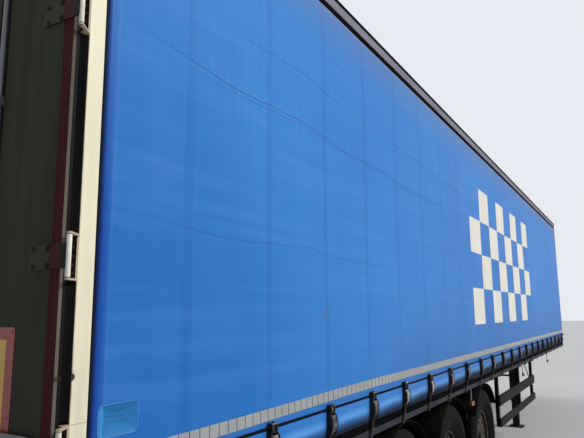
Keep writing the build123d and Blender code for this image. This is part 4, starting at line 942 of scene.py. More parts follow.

# %% [markdown]
# The cloth's colour is laid on in thin coats. Some are marks that came on it over the years: clouds, rain
# and drag marks, the bands welded inside it, grime under the rail. Others are painted light and shade:
# darker blue low at the rear and low along the side, dark strokes of painted shade in the creases, a
# painted highlight over the belly, deep painted shade below it that rises toward the front, painted shade
# and a painted highlight line where the cloth wraps round its rear tube, a near-black painted shadow at its
# very edge, and a painted shadow in the top front corner. Each coat is a mask and a colour, and they go on
# from the first to the last. The relief and the roughness take up the same masks, so that a crease is dark
# and also pressed in.


# %% Blue curtain finish
def curtain_blue():
    finish = Finish("curtain_fabric", Coat_Weight=0.03, Coat_Roughness=0.2, Specular_IOR_Level=0.16)
    x, z = finish.x - rear, finish.z
    from_end = finish.x - curtain_rear
    to_band = (finish.x - strap_first).repeat(strap_pitch)
    cloud = finish.noise(0.55, 4)
    mottle = finish.noise(3.2, 5, stretch=(1, 1, 0.6))
    rain = finish.noise(26, 5, stretch=(1, 1, 0.035))
    drag = finish.noise(14, 4, stretch=(0.05, 1, 1))
    folds = crease_marks(finish, x, z)
    scuff = scuff_marks(finish, x, z)
    # Painted shade: the cloth is darker low toward the rear.
    low_rear_shade = 1 - finish.ramp(x + (z - 1.4) * 0.9, 0.3, 2.6)
    band = (1 - to_band / 0.024).clamp() ** 0.3 * finish.ramp(z, belly_top, belly_top + 0.1)
    # Painted shade: the cloth is darker low along the side.
    low_side_shade = (1 - finish.ramp(z, 1.5, 2.2)) * finish.ramp(x, 1.5, 3.5)
    foot = (1 - finish.ramp(z, 1.19, 1.42)) * finish.ramp(mottle, 0.25, 0.7) * 0.2
    # Painted highlight: a light band over the belly between the straps; the same mask also lowers the
    # roughness.
    gloss = finish.near(z + (mottle - 0.5) * 0.02, 1.335, 0.036) * finish.ramp(to_band, 0.03, 0.14)
    # Painted shade: below the belly the cloth turns near-black, and the shade rises toward the front.
    toward_front = finish.ramp(x, 2.5, 9.0) * 0.075
    under = 1 - finish.ramp(z - toward_front + (mottle - 0.5) * 0.03, 1.270, 1.328)
    # Painted shade where the cloth wraps round its rear tube.
    wrap_shade = (1 - finish.ramp(from_end, 0.026, 0.062)) * (1 - finish.ramp(z, 2.3, 3.4) * 0.75)
    tape_line = finish.ramp(x, 0.3, 2.7) * 0.020 + 1.4645
    # Painted shadow: a near-black triangle in the curtain's top front corner.
    corner = (finish.x * -1 + curtain_front) / 0.20 + (3.9 - z) / 0.55
    coats = (
        (low_rear_shade * 0.75, (26, 92, 168)),
        (finish.ramp(rain, 0.35, 0.75) * 0.2, (26, 92, 176)),
        (finish.ramp(drag, 0.45, 0.75) * 0.16, (92, 152, 220)),
        (finish.ramp(mottle, 0.5, 0.8) * 0.14, (96, 140, 200)),
        (band * 0.22, (18, 80, 162)),
        (finish.near(to_band, 0.024, 0.004) * 0.2, (16, 56, 124)),
        # Painted shade: dark strokes in the creases.
        (folds * 0.6, (16, 44, 100)),
        (scuff * 0.22, (126, 146, 196)),
        (smudge_marks(finish, x, z) * 0.5, (84, 100, 130)),
        (finish.ramp(z + (rain - 0.5) * 0.25, 3.58, 3.86) * 0.5, (98, 116, 148)),
        (low_side_shade * 0.45, (54, 96, 154)),
        (foot, (56, 66, 84)),
        (gloss * 0.5, (110, 178, 244)),
        (under * 0.96, (7, 12, 30)),
        (wrap_shade * 0.85, (6, 66, 158)),
        # Painted highlight: a light upright line on the wrap.
        (finish.near(from_end, 0.056, 0.010) * 0.2, (90, 132, 200)),
        ((1 - (abs(z - tape_line) / 0.022).above(1.0)) * 0.75, (34, 44, 84)),
        # Painted shadow: near-black at the cloth's very edge, in the gap to the post.
        ((1 - finish.ramp(from_end, 0.008, 0.020)) * 0.9, (8, 14, 36)),
        (finish.near(z, 3.8435, 0.0055) * 0.5, (168, 160, 196)),
        (1 - corner.above(1.0), (10, 12, 20)),
    )
    colour = finish.mix(finish.ramp(cloud, 0.3, 0.7), paint(36, 117, 195), paint(50, 130, 206))
    for mask, tone in coats:
        colour = finish.mix(mask, colour, paint(*tone))
    weave = ((finish.x * 1800).sine() + (finish.z * 1800).sine()) * 0.2
    height = weave * 0.25 + mottle * 0.8 + rain * 0.35 - folds * 1.2 + finish.noise(60, 3) * 0.12
    relief = finish.bump(height, 0.0014, 0.55)
    roughness = (0.46 + mottle * 0.12 + foot * 0.2 + scuff * 0.2 - gloss * 0.16 + under * 0.3).clamp()
    return finish.give(Base_Color=colour, Roughness=roughness, Normal=relief)


curtain_finish = curtain_blue()
print("curtain nodes", len(curtain_finish.node_tree.nodes))

# %% [markdown]
# Now the cloth is hung. It could be a cloth simulation pinned along the rail, but this cloth is stretched
# hard between tubes, rail and straps and hardly moves, so its shape is known: each grid point asks
# `curtain_out`.


# %% Hanging the curtains
def hang_curtain(side, sign):
    """One curtain as a single layer of cloth."""
    points = [(x, sign * curtain_out(x, z), z) for z in rows for x in columns]
    wide = len(columns)
    faces = [
        (r * wide + c, r * wide + c + 1, (r + 1) * wide + c + 1, (r + 1) * wide + c)
        for r in range(len(rows) - 1)
        for c in range(wide - 1)
    ]
    if sign > 0:
        faces = [face[::-1] for face in faces]
    mesh = bpy.data.meshes.new(f"curtain_cloth_{side}")
    mesh.from_pydata(points, [], faces)
    mesh.materials.append(curtain_finish)
    mesh.shade_smooth()
    cloth = bpy.data.objects.new(f"curtain_cloth_{side}", mesh)
    bpy.context.scene.collection.objects.link(cloth)
    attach(cloth, "trailer")
    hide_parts(f"curtain_{side}")
    print("hung", cloth.name, len(mesh.polygons), "faces")


for side, sign in SIDES:
    hang_curtain(side, sign)

# %% [markdown]
# The roof is one tarpaulin over the bows, welded to a black edging at each rail. Between the bows it
# hangs a little, so that rain leaves pools there. Only its height changes, bow by bow, so a grid of
# points is enough.

# %% Roof skin
roof_low, roof_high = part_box("roof_sheet")
bow_first, bow_pitch = along(0.480), 0.700
roof_rise, roof_drop, roof_hang = 0.016, 0.024, 0.009


def roof_height(x, y):
    """Height of the roof cloth over a place."""
    across = min(abs(y) / roof_high.y, 1.0)
    top = roof_high.z - 0.0002 - roof_rise * across**2
    from_bow = abs((x - bow_first + bow_pitch / 2) % bow_pitch - bow_pitch / 2)
    span = min(max((from_bow - 0.022) / (bow_pitch / 2 - 0.022), 0.0), 1.0)
    held = smooth((roof_high.x - x) / 0.3) * smooth((x - roof_low.x) / 0.3)
    hang = roof_hang * sin(pi / 2 * span) * (1 - across**4) * held
    return top - hang * (0.8 + 0.5 * noise.noise(Vector((x * 0.8, y * 1.2, 0))))


roof_across = [roof_high.y * (n / 18 - 1) for n in range(37)]
roof_along = stretches([(roof_low.x, roof_high.x, 0.07)])
roof_points = []
for x in roof_along:
    edge = roof_height(x, roof_high.y)
    roof_points.append((x, roof_low.y, edge - roof_drop + 0.0004))
    roof_points += [(x, y, roof_height(x, y)) for y in roof_across]
    roof_points.append((x, roof_high.y, edge - roof_drop + 0.0004))
roof_wide = len(roof_across) + 2
roof_faces = [
    (r * roof_wide + c, (r + 1) * roof_wide + c, (r + 1) * roof_wide + c + 1, r * roof_wide + c + 1)
    for r in range(len(roof_along) - 1)
    for c in range(roof_wide - 1)
]
roof_mesh = bpy.data.meshes.new("roof_skin")
roof_mesh.from_pydata(roof_points, [], roof_faces)
roof_mesh.materials.append(made_finishes["roof_fabric"])
roof_mesh.shade_smooth()
roof_mesh.set_sharp_from_angle(angle=radians(50))
roof_skin = bpy.data.objects.new("roof_skin", roof_mesh)
bpy.context.scene.collection.objects.link(roof_skin)
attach(roof_skin, "trailer")
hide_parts("roof_sheet")
print("roof skin", len(roof_mesh.polygons), "faces")

edging = Form()
for side, sign in SIDES:
    low = roof_high.z - roof_rise - roof_drop + 0.0005
    outward = sorted((sign * (roof_high.y + 0.0004), sign * (roof_high.y + 0.0020)))
    edging.block((roof_low.x, roof_high.x), outward, (low, low + 0.0235))
edging.make("roof_edging", made_finishes["roof_edge"], "trailer", "roof_fabric")

# %% [markdown]
# A black strip runs along the curtain's top, and two more along its foot are painted shade: a dark sheet
# where the belly's underside turns away from the light. A reflective tape runs the whole length just above
# the buckles. It is cut into short segments, so that it can bend with the cloth, and it lies a little
# higher from the third metre on. Every piece is thin and raised, and its corners ask the curtain where they
# lie. A tape painted into the cloth's finish would have no edge to catch the light.


# %% Reflective tape
def tape_finish():
    finish = Finish("reflective_tape", Coat_Weight=0.3, Coat_Roughness=0.3)
    cells = (finish.x * 1400 + finish.z * 800).sine() * (finish.x * 1400 - finish.z * 800).sine()
    cloud = finish.noise(9, 5)
    colour = finish.mix(cloud, paint(162, 165, 164), paint(138, 142, 144))
    colour = finish.mix(finish.ramp(cells, -0.8, 1) * 0.2, colour, paint(140, 140, 136))
    spots = finish.ramp(finish.noise(40, 5), 0.62, 0.7)
    colour = finish.mix(spots * 0.5, colour, paint(112, 108, 100))
    relief = finish.bump(cells, 0.0004, 0.4)
    return finish.give(Base_Color=colour, Roughness=0.4 + cloud * 0.2, Normal=relief)


tape_material = tape_finish()
tape_bottom, tape_top = 1.446, 1.499
tape_pitch, tape_gap = 0.0615, 0.0048
tape_thick = 0.0008


def lay_on_curtain(form, sign, outline, steps, thick):
    """A thin flat patch on the curtain between a lower and an upper line of the same number of steps."""
    low, high = outline
    points = []
    for layer in (0.0, thick):
        for n in range(steps + 1):
            for a, b in (low, high):
                x = a[0] + (b[0] - a[0]) * n / steps
                z = a[1] + (b[1] - a[1]) * n / steps
                points.append((x, sign * (curtain_out(x, z) + 0.0004 + layer), z))
    row = 2 * (steps + 1)
    faces = []
    for n in range(steps):
        k = 2 * n
        faces.append([row + k, row + k + 2, row + k + 3, row + k + 1])
        faces.append([k, k + 2, row + k + 2, row + k])
        faces.append([k + 1, row + k + 1, row + k + 3, k + 3])
    faces.append([0, row, row + 1, 1])
    faces.append([row - 2, row - 1, 2 * row - 1, 2 * row - 2])
    form.add(points, faces)


strip_inset = 0.040
top_and_shade_strips = (
    (3.848, curtain_top - 0.0005, 220),
    # Painted shade: these two strips at the foot are a dark sheet under the belly.
    (curtain_bottom + 0.001, curtain_bottom + 0.030, 500),
    (curtain_bottom + 0.030, curtain_bottom + 0.062, 500),
)
for side, sign in SIDES:
    strip_form = Form()
    for low, high, steps in top_and_shade_strips:
        outline = [((curtain_rear + strip_inset, z), (curtain_front - strip_inset, z)) for z in (low, high)]
        lay_on_curtain(strip_form, sign, outline, steps, 0.0010)
    strip_form.make(f"curtain_top_and_shade_strips_{side}", made_finishes["roof_edge"], "trailer", "strap_steel")
    tape = Form()
    for n in range(int((curtain_front - curtain_rear - 0.10) / tape_pitch)):
        start = curtain_rear + 0.055 + n * tape_pitch
        stop = start + tape_pitch - tape_gap
        lift = 0.020 * smooth((start - along(0.3)) / 2.4) - 0.008
        outline = [((start, z + lift), (stop, z + lift)) for z in (tape_bottom, tape_top)]
        lay_on_curtain(tape, sign, outline, 1, tape_thick)
    tape.make(f"reflective_tape_{side}", tape_material, "trailer", "white_paint")

# %% [markdown]
# Each curtain carries a plain chequered field of pale film. It could be a mask in the cloth's finish, but
# film has a thickness and a gloss of its own. Each square is a stack of thin strips, so that it follows
# the cloth.

# %% Pale squares on the curtains
field_rear, field_foot = 5.30, 1.80
square_length, square_height = 0.50, 0.40
square_columns, square_rows = 8, 4
strips_high, steps_long = 7, 10


def film_finish():
    finish = Finish("pale_film", Coat_Weight=0.25, Coat_Roughness=0.2)
    cloud = finish.noise(1.6, 5)
    rain = finish.noise(26, 5, stretch=(1, 1, 0.04))
    colour = finish.mix(cloud, paint(234, 229, 214), paint(218, 213, 199))
    colour = finish.mix(finish.ramp(rain, 0.45, 0.8) * 0.3, colour, paint(170, 172, 176))
    relief = finish.bump(finish.noise(4, 4), 0.002, 0.3)
    return finish.give(Base_Color=colour, Roughness=0.36 + rain * 0.1, Normal=relief)


film = film_finish()
for side, sign in SIDES:
    field = Form()
    for column, row in product(range(square_columns), range(square_rows)):
        if (column + row) % 2:
            continue
        start = along(field_rear + column * square_length)
        foot = field_foot + row * square_height
        for strip in range(strips_high):
            heights = [foot + square_height * (strip + n) / strips_high for n in (0, 1)]
            outline = [((start, height), (start + square_length, height)) for height in heights]
            lay_on_curtain(field, sign, outline, steps_long, 0.0004)
    field.make(f"curtain_squares_{side}", film, "trailer", "white_paint")

# %% [markdown]
# Near the rear edge of the right curtain a tear was closed with a patch of lighter cloth, welded on with
# rounded corners. Its outline is a rounded rectangle. Shrunken copies of it make the welded rim, and a
# fan closes the middle. Each point asks the curtain where it lies, so the patch follows the cloth.


# %% Repair patch
def patch_finish():
    finish = Finish("patch_cloth", Coat_Weight=0.1, Coat_Roughness=0.2, Specular_IOR_Level=0.3)
    cloud = finish.noise(14, 5)
    colour = finish.mix(cloud, paint(18, 104, 168), paint(24, 112, 174))
    x = finish.x - rear
    # Painted highlight: a light upright line near the patch's rear edge.
    bright = finish.near(x, 0.182, 0.012)
    colour = finish.mix(bright * 0.45, colour, paint(70, 160, 214))
    wave = (x * 70).sine() * 0.0025 + (finish.noise(12, 3) - 0.5) * 0.010
    crinkle = 0.0
    wrinkles = ((1.627, 0.22, 0.29), (1.610, 0.19, 0.25), (1.603, 0.25, 0.30), (1.590, 0.25, 0.30))
    for height, first, last in wrinkles:
        line = finish.near(finish.z, wave + height + (x - 0.25) * 0.05, 0.0028)
        span = finish.ramp(x, first, first + 0.02) * (1 - finish.ramp(x, last - 0.02, last))
        crinkle = line * span + crinkle
    crinkle = crinkle.clamp()
    # Painted shade: dark lines in the patch's wrinkles.
    colour = finish.mix(crinkle * 0.6, colour, paint(10, 62, 120))
    inside = finish.near(x, 0.2565, 0.0866).above(0.001)
    inside = inside * finish.near(finish.z, 1.5935, 0.0508).above(0.001)
    colour = finish.mix((1 - inside) * 0.55, colour, paint(84, 146, 214))
    relief = finish.bump(crinkle + cloud * 0.3, 0.002, 0.6)
    return finish.give(Base_Color=colour, Roughness=0.4 + cloud * 0.15, Normal=relief)


def rounded(left, right, bottom, top, radius, steps=6):
    """Corner points of a rectangle with round corners, counted round it."""
    points = []
    for cx, cz, first in (
        (right - radius, top - radius, 0),
        (left + radius, top - radius, 90),
        (left + radius, bottom + radius, 180),
        (right - radius, bottom + radius, 270),
    ):
        for n in range(steps + 1):
            angle = radians(first + 90 * n / steps)
            points.append((cx + radius * cos(angle), cz + radius * sin(angle)))
    return points


def shrunk(outline, middle, part):
    """The same outline, smaller about its middle."""
    return [(middle[0] + (a - middle[0]) * part, middle[1] + (b - middle[1]) * part) for a, b in outline]


patch_outline = rounded(along(0.167), along(0.346), 1.540, 1.647, 0.018)
patch_middle = (along(0.2565), 1.5935)
patch_rings = [(1.0, 0.0002), (1.0, 0.0016), (0.965, 0.0021), (0.95, 0.0014)]
patch_points = []
for part, rise in patch_rings:
    ring_points = shrunk(patch_outline, patch_middle, part)
    patch_points += [(x, -curtain_out(x, z) - rise, z) for x, z in ring_points]
x, z = patch_middle
patch_points.append((x, -curtain_out(x, z) - patch_rings[-1][1], z))
ring = len(patch_outline)
patch_faces = [
    [k * ring + n, k * ring + (n + 1) % ring, (k + 1) * ring + (n + 1) % ring, (k + 1) * ring + n]
    for k in range(3)
    for n in range(ring)
]
patch_faces += [[3 * ring + n, 3 * ring + (n + 1) % ring, 4 * ring] for n in range(ring)]
patch = Form().add(patch_points, patch_faces)
patch.make("repair_patch", patch_finish(), "trailer", "curtain_fabric", crease=60)

# %% [markdown]
# Every strap has four pieces: webbing that comes down over the belly, a folded hook that grips the rave,
# an over-centre buckle of two black cheeks, and the bare steel lever between them. One set is worked out
# at the origin, with Y pointing away from the trailer, and is then repeated at every strap of both sides.

# %% Straps, buckles and levers
strap_face = half_width + 0.0004
foot_height = rave_low.z
buckle_half, crown_half, lever_half = strap_half, 0.025, 0.026
web_half = 0.0225


def from_foot(outline):
    """Outline points given in millimetres as (distance out, height above the rave's foot)."""
    return [(out / 1000, foot_height + up / 1000) for out, up in outline]


# Outlines seen from the end of the trailer
cheek_line = [(1, 120), (13, 114), (26, 126), (39.5, 162), (39.5, 206), (31, 234), (21, 241), (1, 241)]
cheek_line = from_foot(cheek_line)
inner_line = from_foot([(2.6, 123), (8, 122), (8, 238), (2.6, 238)])
lever_line = [(12, 135), (29, 140), (38, 168), (38, 200), (31, 228), (27.5, 228), (34, 200), (34, 172)]
lever_line = from_foot(lever_line + [(26, 146), (12, 140)])
crown_line = from_foot([(0.8, 236), (23, 236), (29.5, 252), (29.5, 274), (26, 281), (20, 286), (0.8, 286)])
crown_slot = from_foot([(12, 240), (24, 240), (24, 276), (12, 276)])
web_line = [(16, 150), (12, 120), (5.5, 85), (3, 55), (-4, 40), (-1.8, 39), (5.4, 54), (8, 85), (14.5, 119)]
web_line = from_foot(web_line + [(18.5, 149)])
hook_line = [(4, 62), (7.5, 62), (7.5, 46), (-4, 2), (-6, -6), (-28, -6), (-28, 6), (-24.5, 6)]
hook_line = from_foot(hook_line + [(-24.5, -1.5), (-9, -1.5), (-7.5, 5), (4, 48)])

# Outline, then start and stop along the trailer
black_shapes = (
    (hook_line, -0.017, 0.017),
    (cheek_line, -buckle_half, -buckle_half + 0.006),
    (cheek_line, buckle_half - 0.006, buckle_half),
    (inner_line, -lever_half, lever_half),
    (crown_line, -crown_half, -0.015),
    (crown_line, 0.015, crown_half),
    (crown_slot, -0.0155, 0.0155),
)
# Millimetres out, millimetres up, half length, radius, sides
cross_pins = ((15, 131, 0.036, 0.0045, 10), (27, 226, 0.036, 0.0045, 10), (24.5, 280.5, 0.020, 0.0052, 12))
print("strap outlines", len(black_shapes) + 2)

# %% [markdown]
# With the outlines known, one function lays a whole strap into three forms: webbing, black steel, bare
# steel. They could be linked copies of one strap, but then 22 straps with three pieces each would be 66
# objects a side. As three forms they are three.


# %% Straps in place
def one_strap(web, black, steel, x, sign):
    """Adds one strap's pieces to the three forms."""
    move = Matrix.Translation((x, sign * strap_face, 0)) @ Matrix.Diagonal((1, sign, 1, 1))
    web.prism(web_line, -web_half, web_half, move=move)
    for outline, start, stop in black_shapes:
        black.prism(outline, start, stop, move=move)
    steel.prism(lever_line, -lever_half + 0.002, lever_half - 0.002, move=move)
    for out, up, half, radius, sides in cross_pins:
        place = (x - half, sign * (strap_face + out / 1000), foot_height + up / 1000)
        turned = Matrix.Translation(place) @ Matrix.Rotation(pi / 2, 4, "Y")
        profile = [(0, 0), (radius, 0.0005), (radius, 2 * half - 0.0005), (0, 2 * half)]
        steel.turned(profile, sides, turned)
    for rivet_x in (-0.020, 0.020):
        steel.rivet(move @ Vector((rivet_x, 0.0292, foot_height + 0.262)), (0, sign, 0), 0.007)


def webbing_finish():
    finish = Finish("webbing", Specular_IOR_Level=0.1)
    ribs = (finish.x * 3000).sine() * 0.5 + (finish.z * 4200 + (finish.x * 3000).sine()).sine() * 0.5
    cloud = finish.noise(40, 4)
    colour = finish.mix(cloud, paint(16, 17, 20), paint(32, 31, 32))
    colour = finish.mix(finish.ramp(finish.noise(14, 5), 0.55, 0.8) * 0.35, colour, paint(80, 72, 64))
    return finish.give(Base_Color=colour, Roughness=0.75, Normal=finish.bump(ribs, 0.0008, 0.6))


def lever_finish():
    """Bare levers, mostly dark, with light patches painted on as glints, each strap a little different."""
    finish = Finish("strap_steel", Specular_IOR_Level=0.4)
    fine = finish.noise(60, 5)
    each = finish.noise(1.9, 2, stretch=(1, 0.2, 0.6))
    patchy = finish.noise(24, 4, stretch=(1, 1, 0.7))
    # Painted highlight: light patches that stand in for glints on the steel.
    bright = (finish.ramp(each, 0.46, 0.58) * 0.45 + finish.ramp(patchy, 0.52, 0.6) * 0.3).clamp()
    colour = finish.mix(fine, paint(30, 29, 31), paint(48, 45, 46))
    colour = finish.mix(bright, colour, paint(200, 182, 174))
    relief = finish.bump(fine * 0.5 + patchy * 0.4, 0.0008, 0.5)
    return finish.give(Base_Color=colour, Roughness=0.38 + fine * 0.2, Metallic=bright * 0.5, Normal=relief)


keep("strap_steel", lever_finish())
webbing = webbing_finish()
for side, sign in SIDES:
    web, black, steel = Form(), Form(), Form()
    for x in strap_places:
        one_strap(web, black, steel, x, sign)
    webs = web.make(f"strap_webbing_{side}", webbing, "trailer", "strap_steel")
    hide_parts(f"straps_{side}")
    buckle_black, bare_steel = made_finishes["buckle_black"], made_finishes["strap_steel"]
    black.make(f"strap_cheeks_{side}", buckle_black, "trailer", "strap_steel", bevel=0.0008)
    steel.make(f"strap_levers_{side}", bare_steel, "trailer", "strap_steel", bevel=0.0007)

# %% [markdown]
# A customs cable runs through an eye in every strap, so that no strap opens unseen. It is taut, and only
# its plastic sleeve hangs by a millimetre from eye to eye. The steel cable is in the frame. The sleeve is
# a bent round bar through five points per stretch, which a curve object with a bevel would do as well.

# %% Cable sleeves
cable_out = cable_high.y - (cable_high.z - cable_low.z) / 2
sleeve_radius, sleeve_out, sleeve_drop, sleeve_sag = 0.0080, 0.0025, 0.003, 0.001
sleeve_stops = [curtain_rear + 0.02] + strap_places + [curtain_front - 0.02]
for side, sign in SIDES:
    sleeve = Form()
    for first, last in zip(sleeve_stops, sleeve_stops[1:]):
        length = last - first
        sag = sleeve_sag * min(length, 0.6) / 0.6
        run = [(0.03, 0.0), (0.25, sag * 0.75), (0.5, sag), (0.75, sag * 0.75), (0.97, 0.0)]
        y, z = sign * (cable_out + sleeve_out), cable_height - sleeve_drop
        sleeve.tube([(first + length * part, y, z - drop) for part, drop in run], sleeve_radius, 12)
    sleeve.make(f"cable_sleeve_{side}", made_finishes["cable_cover"], "trailer", "cable_cover", crease=60)

# %% [markdown]
# A trailer tyre in cross-section: bead, a full sidewall, a squared shoulder and a tread of five ribs. The
# shoulder ribs are cut into blocks, so the radius there depends on the angle. A Screw modifier would turn
# the section too, but without the cuts. It is modelled once about the wheel's own centre and the same
# mesh stands in all six places.

# %% Tyres
tyre_low, tyre_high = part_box("tyre_rear_left")
tyre_radius = (tyre_high.x - tyre_low.x) / 2
tyre_half = (tyre_high.y - tyre_low.y) / 2
groove_places = (0.044, 0.106)
groove_half = 0.0065
groove_depth = 0.013
tyre_steps = 144


def tyre_profile():
    """(place across, radius, part) from one bead to the other, where part says how it takes the blocks."""
    bead = [(0.132, 0.2900), (0.143, 0.2970), (0.152, 0.3020), (0.157, 0.3120)]
    wall = [(0.168, 0.3300), (0.181, 0.3620), (0.188, 0.3900), (0.190, 0.3920), (0.1915, 0.4200)]
    wall += [(tyre_half - 0.0005, 0.4380), (0.1910, 0.4620)]
    shoulder = [(0.1860, 0.4850), (0.1780, 0.5060), (0.1660, 0.5200), (0.1540, 0.5280)]
    shoulder += [(0.1450, tyre_radius - 0.005)]
    half = [(*point, "wall") for point in bead + wall] + [(*point, "lug") for point in shoulder]
    for place in sorted(groove_places, reverse=True):
        crown = tyre_radius - 0.004 * (place / 0.145) ** 2
        rib = "lug" if place == max(groove_places) else "rib"
        half.append((place + groove_half, crown, rib))
        half.append((place + groove_half * 0.6, crown - groove_depth, "wall"))
        half.append((place - groove_half * 0.6, crown - groove_depth, "wall"))
        half.append((place - groove_half, crown, "rib"))
    half.append((0.0, tyre_radius, "rib"))
    return half + [(-place, radius, part) for place, radius, part in half[-2::-1]]


def tyre_mesh():
    profile = tyre_profile()
    points, faces = [], []
    for step in range(tyre_steps):
        angle = 2 * pi * step / tyre_steps
        for place, radius, part in profile:
            cut = 0.0
            if part == "lug" and step % 6 == (0 if place > 0 else 3):
                cut = 0.009
            if part == "rib" and step % 6 == 2:
                cut = 0.004
            reach = radius - cut
            points.append((reach * cos(angle), place, reach * sin(angle)))
    wide = len(profile)
    for step in range(tyre_steps):
        after = (step + 1) % tyre_steps
        for n in range(wide):
            m = (n + 1) % wide
            faces.append((step * wide + n, step * wide + m, after * wide + m, after * wide + n))
    return Form().add(points, faces)


wheel_centres = {}
tyre_shape = None
for axle in AXLES:
    for side, sign in SIDES:
        low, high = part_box(f"tyre_{axle}_{side}")
        centre = (low + high) / 2
        wheel_centres[axle, side] = centre
        name = f"tyre_tread_{axle}_{side}"
        if tyre_shape is None:
            tyre = tyre_mesh().make(name, made_finishes["tyre_rubber"], f"wheel_{axle}_{side}", crease=50)
            tyre_shape = tyre.data
        else:
            tyre = bpy.data.objects.new(name, tyre_shape)
            bpy.context.scene.collection.objects.link(tyre)
            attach(tyre, f"wheel_{axle}_{side}")
        tyre.location = centre
        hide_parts(f"tyre_{axle}_{side}")
print("tyre faces", len(tyre_shape.polygons))

# %% [markdown]
# Ten nuts hold each wheel, with a round flange under the hexagon, and a ring of small bolts holds the hub
# cap. An array of objects about an empty would turn them too. Two loops make them part of one mesh per
# wheel.

# %% Wheel nuts
# Radius of the ring, distance out, how many, size
bolt_rings = ((0.1675, 0.1085, 10, 0.030), (0.062, 0.150, 6, 0.010))
for (axle, side), centre in wheel_centres.items():
    sign = dict(SIDES)[side]
    nuts = Form()
    for ring_radius, out, count, size in bolt_rings:
        for n in range(count):
            angle = 2 * pi * n / count
            place = centre + Vector((ring_radius * cos(angle), sign * out, ring_radius * sin(angle)))
            nuts.bolt(place, (0, sign, 0), size)
    nuts.make(f"wheel_nuts_{axle}_{side}", made_finishes["bolt_steel"], f"wheel_{axle}_{side}", "rim_paint")

# %% [markdown]
# Black rubber lips seal the doors against the frame. Each is a double lip in section, fixed to the door's
# inner face and ending just short of the post. It runs up the hinge edge, where it is narrower behind
# each hinge, up the meeting edge, and across the top and bottom. One section serves all of them, turned
# or mirrored.

# %% Door seals
door_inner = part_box("door_right")[1].x
seal_stop = post_low.x - 0.0006
seal_end, hinge_gap, narrow_out = 0.012, 0.083, 0.034
for side, sign in SIDES:
    low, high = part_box(f"door_{side}")
    outer = max(abs(low.y), abs(high.y))
    inner = min(abs(low.y), abs(high.y))
    seal = Form()
    lip = [
        (door_inner, outer - 0.006),
        (door_inner + 0.012, outer - 0.004),
        (door_inner + 0.020, outer - 0.010),
        (seal_stop, outer - 0.003),
        (seal_stop, outer - 0.012),
        (door_inner + 0.022, outer - 0.026),
        (door_inner, outer - 0.028),
    ]
    upright = [(a, sign * b) for a, b in lip]
    stops = [z + way * hinge_gap for z in hinge_heights for way in (-1, 1)]
    stops = [low.z + seal_end] + stops + [high.z - seal_end]
    for first, last in zip(stops[::2], stops[1::2]):
        seal.prism(upright, first, last, "z")
    narrow = [(a, min(b, outer - narrow_out)) for a, b in lip]
    narrow = [(a, sign * (b - (0.012 if n in (4, 5, 6) else 0))) for n, (a, b) in enumerate(narrow)]
    for z in hinge_heights:
        seal.prism(narrow, z - hinge_gap, z + hinge_gap, "z")
    meeting = [(a, sign * (inner + outer - b - 0.003)) for a, b in lip]
    seal.prism(meeting, low.z + seal_end, high.z - seal_end, "z")
    for edge_z, way in ((low.z, 1), (high.z, -1)):
        across = [(a, edge_z + way * (outer - b)) for a, b in lip]
        seal.prism(across, sign * (inner + 0.004), sign * (outer - 0.004), "y")
    seal.make(f"door_seal_{side}", made_finishes["door_rubber"], f"door_{side}", "buffer_rubber")

# %% [markdown]
# The marking plates at the rear are plain: a yellow field in a red border, one upright plate on each
# door, held by six rivets. Border and field are two thin prisms of different height. One plate with two
# colours would do from afar, but the real film has an edge.

# %% Marking plates
plate_bottom, plate_top = 1.335, 1.900
plate_inner, plate_outer = 0.865, 1.065
for side, sign in SIDES:
    border, field, fixing = Form(), Form(), Form()
    for form, inset, radius, start, stop in (
        (border, 0.0, 0.008, rear - 0.0016, rear + 0.0004),
        (field, 0.040, 0.003, rear - 0.0022, rear - 0.0012),
    ):
        across = plate_inner + inset, plate_outer - inset
        upright = plate_bottom + inset, plate_top - inset
        form.prism([(sign * a, b) for a, b in rounded(*across, *upright, radius)], start, stop)
    for y in (plate_inner + 0.012, plate_outer - 0.012):
        for z in (plate_bottom + 0.014, (plate_bottom + plate_top) / 2, plate_top - 0.014):
            fixing.rivet((rear - 0.0016, sign * y, z), (-1, 0, 0), 0.009)
    border.make(f"marking_border_{side}", made_finishes["plate_red"], f"door_{side}", "door_paint")
    field.make(f"marking_field_{side}", made_finishes["plate_yellow"], f"door_{side}", "door_paint")
    fixing.make(f"marking_rivets_{side}", made_finishes["bolt_steel"], f"door_{side}", "door_paint")

# %% [markdown]
# Bolts go where a fitter would put them: four through each hinge leaf and five in each bracket. A flat
# rivet head closes each end of a hinge pin, and a row of rivets runs along the rave between the straps.
# They could be scattered on the faces by nodes, but each has a known place, so a loop says it plainly.

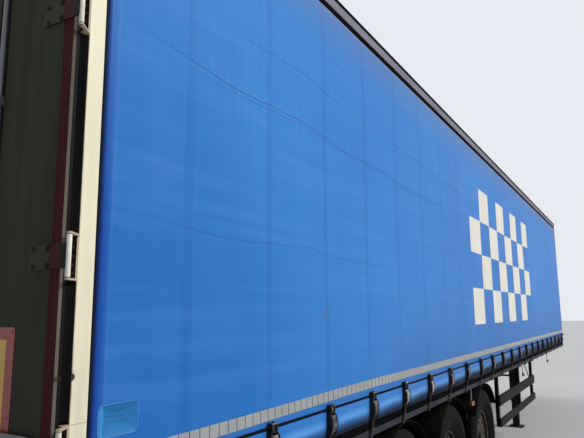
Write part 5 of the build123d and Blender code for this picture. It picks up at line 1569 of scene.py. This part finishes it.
# %% Bolts
base_bolts = Form()
leaf_face, bracket_face, bracket_out = rear - 0.006, along(0.0578), 1.2515
for side, sign in SIDES:
    fixings, painted = Form(), Form()
    for z in hinge_heights:
        for rise in (-0.029, 0.029):
            fixings.bolt((leaf_face, sign * 1.206, z + rise), (-1, 0, 0), 0.014)
            painted.bolt((leaf_face, sign * 1.136, z + rise), (-1, 0, 0), 0.013)
        for rise in (-0.052, -0.026, 0.004, 0.032, 0.054):
            base_bolts.bolt((bracket_face, sign * bracket_out, z + rise), (-1, 0, 0), 0.011)
        for way in (1, -1):
            pin_end = (along(pin_from_doors), sign * pin_out, z + way * 0.0725)
            base_bolts.rivet(pin_end, (0, 0, way), 0.012)
    painted.make(f"hinge_bolts_painted_{side}", made_finishes["hinge_leaf"], f"door_{side}", "door_paint")
    fixings.make(f"hinge_bolts_{side}", made_finishes["hinge_bolt"], f"door_{side}", "door_paint")
for place in strap_places:
    x = place - strap_pitch / 2
    for side, sign in SIDES:
        if along(0.15) < x < along(13.55):
            base_bolts.rivet((x, sign * rave_high.y, rave_low.z + 0.030), (0, sign, 0), 0.012)
base_bolts.make("frame_bolts", made_finishes["bolt_steel"], "trailer", "galvanised_steel")

# %% [markdown]
# The rear lamps are black housings with a row of lenses: amber, red, red and white. Each lens is a
# shallow dished pane with a round edge: five copies of one rounded outline, each smaller and a little
# further out, with a skin between them. Lenses of one colour share a mesh, on both lamps.

# %% Lamp lenses
lamp_low, lamp_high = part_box("rear_lamps")
# Finish, then start and stop as parts of the lamp's length, from its outer end
lens_row = (
    ("amber_lens", 0.00, 0.24),
    ("red_lens", 0.26, 0.50),
    ("red_lens", 0.52, 0.76),
    ("clear_lens", 0.78, 1.0),
)
lens_rings = ((1.0, -0.002), (1.0, 0.004), (0.93, 0.008), (0.6, 0.010), (0.25, 0.0105))
lamp_rim = 0.012
lamp_inner, lamp_outer = 0.730, lamp_high.y
lens_slots = {"amber_lens": "amber_lens", "red_lens": "red_lens", "clear_lens": "amber_lens"}
lens_forms = {name: Form() for name in lens_slots}
for side, sign in SIDES:
    for name, start, stop in lens_row:
        outer = lamp_outer - lamp_rim - start * (lamp_outer - lamp_inner - 2 * lamp_rim)
        inner = lamp_outer - lamp_rim - stop * (lamp_outer - lamp_inner - 2 * lamp_rim)
        outline = rounded(inner, outer, lamp_low.z + 0.014, lamp_high.z - 0.014, 0.012)
        middle = ((inner + outer) / 2, (lamp_low.z + lamp_high.z) / 2)
        rings = []
        for part, rise in lens_rings:
            rings.append([(lamp_low.x - rise, sign * y, z) for y, z in shrunk(outline, middle, part)])
        lens_forms[name].skin(rings)
for name, form in lens_forms.items():
    form.make(f"rear_{name}", made_finishes[name], "trailer", lens_slots[name])

# %% [markdown]
# Soft pieces may swell a little past the steel they cover.
